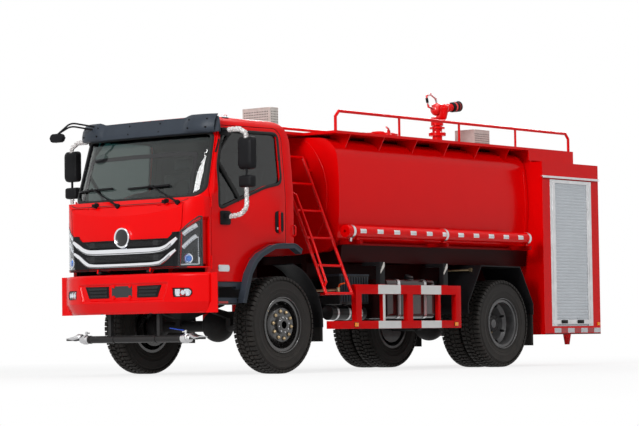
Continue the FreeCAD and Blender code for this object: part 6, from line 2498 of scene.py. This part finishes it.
@dataclass
class PumpBox:
    """Roller shutters, rails, gutters, reflective strip, lamps and rear details of the pump box."""

    front: float = -2.575
    rear: float = -3.375
    wall: float = 1.124
    slats: int = 46
    slats_low: float = 0.556
    slats_high: float = 2.228

    def build(self) -> None:
        """Dress the box."""
        for name, side in SIDES:
            self.shutter(name, side)
        self.strips()
        self.back()

    def shutter(self, name: str, side: float) -> None:
        """Make one shutter's slats, rails, bottom bar and gutter.

        Args:
            name: Which shutter it is.
            side: 1 for the left, -1 for the right.
        """
        pitch = (self.slats_high - self.slats_low) / self.slats
        depth = side * (self.wall - 0.010)
        slat = Stock()
        half = (self.front - self.rear) / 2 + 0.004
        profile = [(-0.006, -pitch / 2), (0.001, -pitch / 2), (0.0045, -pitch * 0.28), (0.0058, 0.0),
                   (0.0045, pitch * 0.28), (0.001, pitch / 2), (-0.006, pitch / 2)]
        slat.rings([[Vector((x, side * p, q)) for p, q in profile] for x in (-half, half)])
        rows("shutter_slats_" + name, slat, SHUTTER_SILVER, Body.CHASSIS, Slot.SILVER,
             ((self.front + self.rear) / 2, depth, self.slats_low + pitch / 2), (0, 0, pitch), self.slats,
             crease=50.0)
        rails = Stock()
        for x0, x1 in ((-2.655, -2.548), (-3.435, -3.335)):
            outline = oblong(x0, 0.472, x1, 2.232)
            rails.plate(outline, Axis.Y, side * (self.wall - 0.012), side * (self.wall + 0.003), 0.002)
            mid = (x0 + x1) / 2
            rails.plate(oblong(mid - 0.012, 0.48, mid + 0.012, 2.225), Axis.Y,
                        side * self.wall, side * (self.wall + 0.007), 0.002)
        rails.plate(oblong(-3.435, 2.195, -2.548, 2.236), Axis.Y,
                    side * (self.wall - 0.012), side * (self.wall + 0.004), 0.002)
        rails.plate(oblong(-3.410, 0.495, -2.560, 0.548), Axis.Y,
                    side * (self.wall - 0.012), side * (self.wall + 0.008), 0.003)
        rails.piece("shutter_rails_" + name, BRIGHT_STEEL, Body.CHASSIS, Slot.SILVER)
        trim = Stock()
        for x0, x1 in ((self.front - 0.013, self.front + 0.001), (self.rear - 0.001, self.rear + 0.013)):
            trim.plate(oblong(x0, 0.55, x1, 2.196), Axis.Y, side * (self.wall - 0.012),
                       side * (self.wall - 0.0015), 0.001)
        for x in (-2.80, -3.15):
            trim.block((x - 0.060, min(side * (self.wall + 0.004), side * (self.wall + 0.020)), 0.502),
                       (x + 0.060, max(side * (self.wall + 0.004), side * (self.wall + 0.020)), 0.545),
                       0.006)
        trim.plate(oblong(-3.595, 0.374, -2.395, 0.384), Axis.Y,
                   side * (self.wall - 0.002), side * (self.wall + 0.0035))
        trim.piece("shutter_trim_" + name, BLACK_MOULDING, Body.CHASSIS, Slot.BLACK_PLASTIC)
        gutter = Stock()
        base = side * (self.wall - 0.002)
        gutter.plate(oblong(-3.575, 2.262, -2.355, 2.274), Axis.Y, base, side * (self.wall + 0.034), 0.003)
        gutter.plate(oblong(-3.575, 2.248, -2.355, 2.274), Axis.Y,
                     side * (self.wall + 0.030), side * (self.wall + 0.036), 0.002)
        gutter.piece("rain_gutter_" + name, BRIGHT_STEEL, Body.CHASSIS, Slot.SILVER)

    def strips(self) -> None:
        """Lay the red and white strip along each side and across the back."""
        white, red, lamps = Stock(), Stock(), Stock()
        ends = grid(-2.595, -3.595, 8)
        for side in (1.0, -1.0):
            for i, (x1, x0) in enumerate(zip(ends, ends[1:])):
                stock = white if i % 2 == 0 else red
                stock.plate(oblong(x0, 0.392, x1, 0.448), Axis.Y, side * (self.wall - 0.002),
                            side * (self.wall + 0.0012))
            x = -3.555
            lamps.plate(oblong(x - 0.028, 0.478, x + 0.028, 0.516), Axis.Y,
                        side * (self.wall - 0.002), side * (self.wall + 0.012), 0.004)
        marks = grid(-0.76, 0.76, 9)
        for i, (y0, y1) in enumerate(zip(marks, marks[1:])):
            stock = white if i % 2 == 0 else red
            stock.plate(oblong(y0, 0.392, y1, 0.448), Axis.X, -3.6012, -3.598)
        white.piece("strip_white", TAPE_WHITE, Body.CHASSIS, Slot.RED)
        red.piece("strip_red", TAPE_RED, Body.CHASSIS, Slot.RED)
        lamps.piece("pump_box_side_lamps", AMBER_BODY, Body.CHASSIS, Slot.LAMP)

    def back(self) -> None:
        """Rear lamp lenses, locker-door seams, hinges and handle, and the bare plate."""
        red, amber, clear, body, bright = Stock(), Stock(), Stock(), Stock(), Stock()
        for side in (1.0, -1.0):
            for stock, y0, y1 in ((red, 0.965, 1.070), (amber, 0.885, 0.955), (clear, 0.795, 0.875)):
                low, high = sorted((side * y0, side * y1))
                stock.plate(oblong(low, 0.445, high, 0.545), Axis.X, -3.629, -3.612, 0.005)
            for z in (0.80, 1.42, 2.04):
                bright.turned(rod(-0.06, 0.06, 0.011), (-3.612, side * 0.487, z), (0, 0, 1), 12)
        body.plate(oblong(-0.225, 0.60, 0.225, 0.475), Axis.X, -3.606, -3.598, 0.002)
        for y in (-0.42, 0.42):
            body.plate(oblong(y - 0.006, 0.68, y + 0.006, 2.16), Axis.X, -3.6215, -3.616)
        for z in (0.68, 2.16, 1.42):
            body.plate(oblong(-0.42, z - 0.006, 0.42, z + 0.006), Axis.X, -3.6215, -3.616)
        handle = [(-3.616, -0.07, 1.32), (-3.632, -0.07, 1.32), (-3.632, 0.07, 1.32), (-3.616, 0.07, 1.32)]
        bright.tube(handle, 0.006, 10, 0.01)
        bright.piece("rear_door_hinges", BRIGHT_STEEL, Body.CHASSIS, Slot.SILVER)
        body.piece("rear_door_seams_and_plate", BLACK_MOULDING, Body.CHASSIS, Slot.BLACK_PLASTIC)
        red.piece("rear_lamps_red", RED_LENS, Body.CHASSIS, Slot.LAMP)
        amber.piece("rear_lamps_amber", AMBER_LENS, Body.CHASSIS, Slot.LAMP)
        clear.piece("rear_lamps_clear", CLEAR_LENS, Body.CHASSIS, Slot.LAMP)


@dataclass
class TankTop:
    """Weld seams, cover holes and rims, deck lever, monitor details, lid rim and drain valves."""

    def build(self) -> None:
        """Make every piece."""
        self.seams()
        self.covers()
        self.monitor()
        self.lid()
        self.valves()

    def seams(self) -> None:
        """Lay weld beads round the tank's heads."""
        beads = Stock()
        skin = Skin("water_tank")
        for x, width, height in ((1.215, 0.014, 0.0035), (-2.33, 0.014, 0.0035), (0.06, 0.007, 0.0012),
                                 (-1.12, 0.007, 0.0012)):
            spots = []
            for k in range(48):
                angle = 2 * math.pi * k / 48
                out = Vector((0, math.cos(angle), math.sin(angle)))
                start = Vector((x, 0, 1.95)) + out * 2.0
                spots.append(skin.reach(start, -out))
            skin.strip(beads, spots, crown_profile(width, height), closed=True)
        beads.piece("tank_weld_beads", RED, Body.CHASSIS, Slot.RED)

    def covers(self) -> None:
        """Rows of holes in the two covers, and their folded rims."""
        for name, out, start, step, count, length, rise in (
                ("rear_cover_holes", (0, 1, 0), (-2.665, 0.150, 2.65), (0.0235, 0, 0), 104, 13, 0.027),
                ("front_cover_holes", (1, 0, 0), (1.835, 0.13, 2.65), (0, 0.0235, 0), 105, 15, 0.028),
                ("front_cover_side_holes", (0, 1, 0), (1.718, 0.500, 2.65), (0.0235, 0, 0), 35, 5, 0.028)):
            hole = Stock().turned(rod(-0.0004, 0.0006, 0.0065), (0, 0, 0), out, 8)
            rows(name, hole, PERFORATED, Body.CHASSIS, Slot.SILVER, start, step, count, Row_Length=length,
                 Row_Step=(0, 0, rise))
        rims = Stock()
        for x0, x1, y0, y1, z in ((1.705, 1.835, 0.10, 0.50, 2.861), (-2.685, -2.375, -0.15, 0.15, 2.89)):
            loop = rounded(oblong(x0, y0, x1, y1), 0.012)
            rims.swept([(p.x, p.y, z) for p in loop], crown_profile(0.010, 0.004, 0.006),
                       [Vector((0, 0, 1))] * len(loop), closed=True)
        rims.piece("cover_rims", GALVANISED, Body.CHASSIS, Slot.SILVER)
        lever = Stock()
        lever.turned([(0.0, 0.0), (0.0, 0.03), (0.05, 0.03), (0.06, 0.02), (0.10, 0.018), (0.10, 0.0)],
                     (-0.075, 0.62, 2.615), (0, 0, 1), 20)
        lever.tube([(-0.075, 0.62, 2.705), (-0.02, 0.66, 2.725), (0.07, 0.70, 2.735)], 0.011, 10, 0.02)
        lever.piece("deck_valve_lever", RED, Body.CHASSIS, Slot.RED)

    def monitor(self) -> None:
        """Flanges, grip, nozzle rings and bolts of the water monitor."""
        x, z = -1.815, 3.11
        red, black, bright = Stock(), Stock(), Stock()
        for low, high, r in ((2.617, 2.643, 0.118), (2.786, 2.804, 0.104), (2.806, 2.824, 0.104),
                             (2.872, 2.892, 0.092)):
            red.turned(rod(low, high, r), (x, 0, 0), (0, 0, 1), 32)
        red.piece("monitor_flanges", RED, Body.CHASSIS, Slot.RED)
        for k in range(8):
            angle = math.pi * (k + 0.5) / 4
            for level, r in ((2.643, 0.103), (2.824, 0.088)):
                bright.turned(rod(0.0, 0.009, 0.0085),
                              (x + r * math.cos(angle), r * math.sin(angle), level), (0, 0, 1), 6)
        bright.piece("monitor_flange_bolts", BRIGHT_STEEL, Body.CHASSIS, Slot.SILVER)
        along = Vector((-0.989, 0.0, 0.148))
        tip = Vector((x, 0, z))
        black.turned([(0.285, 0.0), (0.285, 0.050), (0.300, 0.061), (0.330, 0.063), (0.335, 0.057),
                      (0.362, 0.057), (0.367, 0.064), (0.405, 0.0655), (0.410, 0.059), (0.436, 0.062),
                      (0.446, 0.066), (0.449, 0.060), (0.446, 0.050), (0.420, 0.045), (0.420, 0.0)], tip,
                     along, 36)
        black.piece("monitor_nozzle_tip", BLACK_MOULDING, Body.BARREL, Slot.BLACK_PLASTIC)
        sleeve = Stock().turned([(0.20, 0.0), (0.20, 0.046), (0.212, 0.052), (0.236, 0.052), (0.248, 0.046),
                                 (0.284, 0.047), (0.284, 0.0)], tip, along, 30)
        sleeve.piece("monitor_barrel_sleeve", RED, Body.BARREL, Slot.RED)
        hoop = Stock().tube([(x + 0.06, 0, z), (x + 0.17, 0, z + 0.02), (x + 0.20, 0, z + 0.15),
                             (x + 0.12, 0, z + 0.175), (x + 0.02, 0, z + 0.13), (x, 0, z + 0.07)], 0.0128,
                            12, 0.045)
        hoop.piece("monitor_hoop_skin", BRIGHT_STEEL, Body.BARREL, Slot.SILVER)
        grip = Stock().tube([(x + 0.185, 0, z + 0.07), (x + 0.20, 0, z + 0.125)], 0.0165, 12)
        grip.piece("monitor_grip", BLACK_MOULDING, Body.BARREL, Slot.BLACK_PLASTIC)

    def lid(self) -> None:
        """The rim of the manhole lid."""
        lid = Stock().turned([(2.728, 0.238), (2.728, 0.2555), (2.738, 0.2555), (2.741, 0.250),
                              (2.738, 0.238)], (-0.625, 0, 0), (0, 0, 1), 48)
        lid.piece("manhole_lid_rim", RED, Body.LID, Slot.RED)

    def valves(self) -> None:
        """Brass drain valves low on the left."""
        brass = Stock()
        for x in (-1.10, -1.18):
            brass.tube([(x, 0.60, 1.13), (x, 0.99, 1.13)], 0.013, 10)
            brass.turned(rod(0.0, 0.03, 0.022), (x, 0.97, 1.13), (0, 1, 0), 6)
        brass.piece("drain_valves", BRASS, Body.CHASSIS, Slot.SILVER)


@dataclass
class Underbody:
    """Straps, ribs, caps and valve levers on the tanks and boxes behind the cab."""

    air_line: tuple[float, float] = (0.72, 0.639)
    air_radius: float = 0.079

    def build(self) -> None:
        """Make every piece."""
        straps, ribs, valve, lever = Stock(), Stock(), Stock(), Stock()
        y, z = self.air_line
        r = self.air_radius
        for x in (0.68, 0.88, 1.08):
            straps.turned(pipe(-0.014, 0.014, r - 0.003, r + 0.0025), (x, y, z), (1, 0, 0), 36)
        for x in (-0.21, 0.27):
            loop = rounded(oblong(0.559, 0.576, 1.001, 1.009), 0.050, 7)
            straps.swept([(x, p.x, p.y) for p in loop], oblong(-0.022, -0.001, 0.022, 0.004),
                         [Vector((0, p.x - 0.78, p.y - 0.79)).normalized() for p in loop], closed=True)
        straps.piece("tank_straps", BRIGHT_STEEL, Body.CHASSIS, Slot.SILVER)
        for x in grid(0.615, 1.060, 11):
            ribs.block((x - 0.009, 0.816, 0.760), (x + 0.009, 0.829, 1.030), 0.004)
        ribs.block((0.575, 0.556, 1.040), (1.096, 0.826, 1.062), 0.006)
        ribs.piece("battery_box_ribs", GREY_MOULDING, Body.CHASSIS, Slot.BLACK_PLASTIC)
        cap = Stock().turned([(-0.03, 0.0), (-0.03, 0.050), (0.014, 0.053), (0.020, 0.047), (0.020, 0.0)],
                             (-0.005, 0.930, 1.030), (0, 0.45, 0.9), 24)
        cap.piece("fuel_filler_cap", BLACK_MOULDING, Body.CHASSIS, Slot.BLACK_PLASTIC)
        valve.turned([(0.0, 0.0), (0.0, 0.020), (0.045, 0.020), (0.050, 0.0)], (1.245, 0.93, 0.865),
                     (0, 0, 1), 12)
        valve.tube([(1.245, 0.60, 0.885), (1.245, 0.93, 0.885)], 0.012, 10)
        valve.piece("drain_cock", BRASS, Body.CHASSIS, Slot.SILVER)
        lever.tube([(1.245, 0.93, 0.905), (1.245, 0.955, 0.945), (1.245, 1.02, 0.955)], 0.0085, 8, 0.01)
        lever.piece("drain_cock_lever", ORANGE, Body.CHASSIS, Slot.BLACK_PLASTIC)


ASSEMBLIES = (CarriedOver(), EasedParts(), Windscreen(), Grille(), Headlamps(), Bumper(), SprayBar(),
              Wheels(), Doors(), Mirrors(), CabSides(), SideGuards(), Underbody(), HoseTubes(), PumpBox(),
              TankTop())


# ---------------------------------------------------------------- studio
@dataclass(frozen=True)
class Softbox:
    """One area light aimed at a point."""

    name: str
    place: Point
    aim: Point
    size: tuple[float, float]
    power: float

    def build(self) -> None:
        """Add the light to the scene."""
        data = bpy.data.lights.new(self.name, "AREA")
        data.shape = "RECTANGLE"
        data.size, data.size_y = self.size
        data.energy = self.power
        light = bpy.data.objects.new(self.name, data)
        light.visible_transmission = False
        place = Vector(self.place)
        turn = (Vector(self.aim) - place).to_track_quat("-Z", "Y").to_matrix().to_4x4()
        light.matrix_world = Matrix.Translation(place) @ turn
        bpy.context.scene.collection.objects.link(light)


@dataclass
class Studio:
    """The camera, world, floor and lights of a product shoot on plain white."""

    eye: tuple[float, float, float] = (21.1601, 17.2774, 0.3614)
    heading: float = -2.44680884
    pitch: float = 0.052654625
    roll: float = -0.0135993027
    ambient: float = 0.13
    floor_grey: float = 0.62
    lens: float = 134.18
    softboxes: tuple[Softbox, ...] = (
        Softbox("key_softbox", (15.0, 2.5, 7.5), (2.0, 0.0, 1.6), (5.0, 5.0), 1900.0),
        Softbox("side_softbox", (-0.5, 13.0, 9.0), (-1.0, 0.0, 1.9), (9.0, 3.0), 760.0),
        Softbox("overhead_softbox", (-1.0, 1.0, 11.0), (-1.0, 0.0, 2.0), (9.0, 5.0), 520.0),
        Softbox("shoulder_softbox", (-11.5, -6.5, 7.0), (-0.4, 0.8, 2.3), (6.0, 3.0), 900.0))

    def build(self) -> None:
        """Set up the whole studio."""
        self.camera()
        self.world()
        self.floor()
        for box in self.softboxes:
            box.build()

    def camera(self) -> None:
        """Place the long lens low in front of the left corner."""
        ch, sh = math.cos(self.heading), math.sin(self.heading)
        cp, sp = math.cos(self.pitch), math.sin(self.pitch)
        forward = Vector((ch * cp, sh * cp, sp))
        right = Vector((sh, -ch, 0.0))
        up = right.cross(forward)
        cr, sr = math.cos(self.roll), math.sin(self.roll)
        side = right * cr + up * sr
        top = up * cr - right * sr
        data = bpy.data.cameras.new("product_camera")
        data.lens = self.lens
        data.sensor_width = 36.0
        data.clip_end = 200.0
        camera = bpy.data.objects.new("product_camera", data)
        turn = Matrix((side, top, -forward)).transposed().to_4x4()
        camera.matrix_world = Matrix.Translation(Vector(self.eye)) @ turn
        scene = bpy.context.scene
        scene.collection.objects.link(camera)
        scene.camera = camera

    def world(self) -> None:
        """Light grey surroundings that the camera sees as plain white."""
        world = bpy.data.worlds.new("studio_world")
        world.use_nodes = True
        world.node_tree.nodes.clear()
        wires = Wiring(world.node_tree)
        soft = wires.add("ShaderNodeBackground", None, (0.80, 0.84, 0.90, 1.0), self.ambient)
        white = wires.add("ShaderNodeBackground", None, (1.0, 1.0, 1.0, 1.0), 1.0)
        mix = wires.add("ShaderNodeMixShader", None, self.seen(wires), soft.outputs[0], white.outputs[0])
        wires.add("ShaderNodeOutputWorld", None, mix.outputs[0])
        scene = bpy.context.scene
        scene.world = world
        scene.view_settings.view_transform = "Standard"

    @staticmethod
    def seen(wires: Wiring) -> bpy.types.NodeSocket:
        """Tell the rays that show the background from those that light the object.

        Args:
            wires: The wiring of the world or a material.

        Returns:
            A socket that is 1 for camera, glossy and transmission rays.
        """
        path = wires.add("ShaderNodeLightPath").outputs
        either = path["Is Camera Ray"]
        for kind in ("Is Glossy Ray", "Is Transmission Ray"):
            either = wires.maths("MAXIMUM", either, path[kind])
        return either

    def floor(self) -> None:
        """Lay a plain pale floor that keeps the shadow and fades to white far away."""
        mesh = bpy.data.meshes.new("studio_floor")
        size = 60.0
        mesh.from_pydata([(-size, -size, 0), (size, -size, 0), (size, size, 0), (-size, size, 0)], [],
                         [(0, 1, 2, 3)])
        material = bpy.data.materials.new("studio_floor")
        material.use_nodes = True
        material.node_tree.nodes.clear()
        wires = Wiring(material.node_tree)
        shader = wires.add("ShaderNodeBsdfPrincipled", None, (*[self.floor_grey] * 3, 1.0), Roughness=0.9)
        white = wires.add("ShaderNodeEmission")
        place = wires.add("ShaderNodeTexCoord").outputs["Object"]
        away = wires.add("ShaderNodeVectorMath", {"operation": "LENGTH"}, place).outputs["Value"]
        fade = wires.between(away, 4.0, 14.0, 0.80, 1.0)
        share = wires.maths("MULTIPLY", self.seen(wires), fade)
        mix = wires.add("ShaderNodeMixShader", None, share, shader.outputs[0], white.outputs[0])
        wires.add("ShaderNodeOutputMaterial", None, mix.outputs[0])
        mesh.materials.append(material)
        floor = bpy.data.objects.new("studio_floor", mesh)
        bpy.context.scene.collection.objects.link(floor)


def main() -> None:
    """Build the fire truck's visual and its studio."""
    for assembly in ASSEMBLIES:
        LOG.info("building %s", type(assembly).__name__)
        assembly.build()
    Studio().build()


if __name__ == "__main__":
    main()
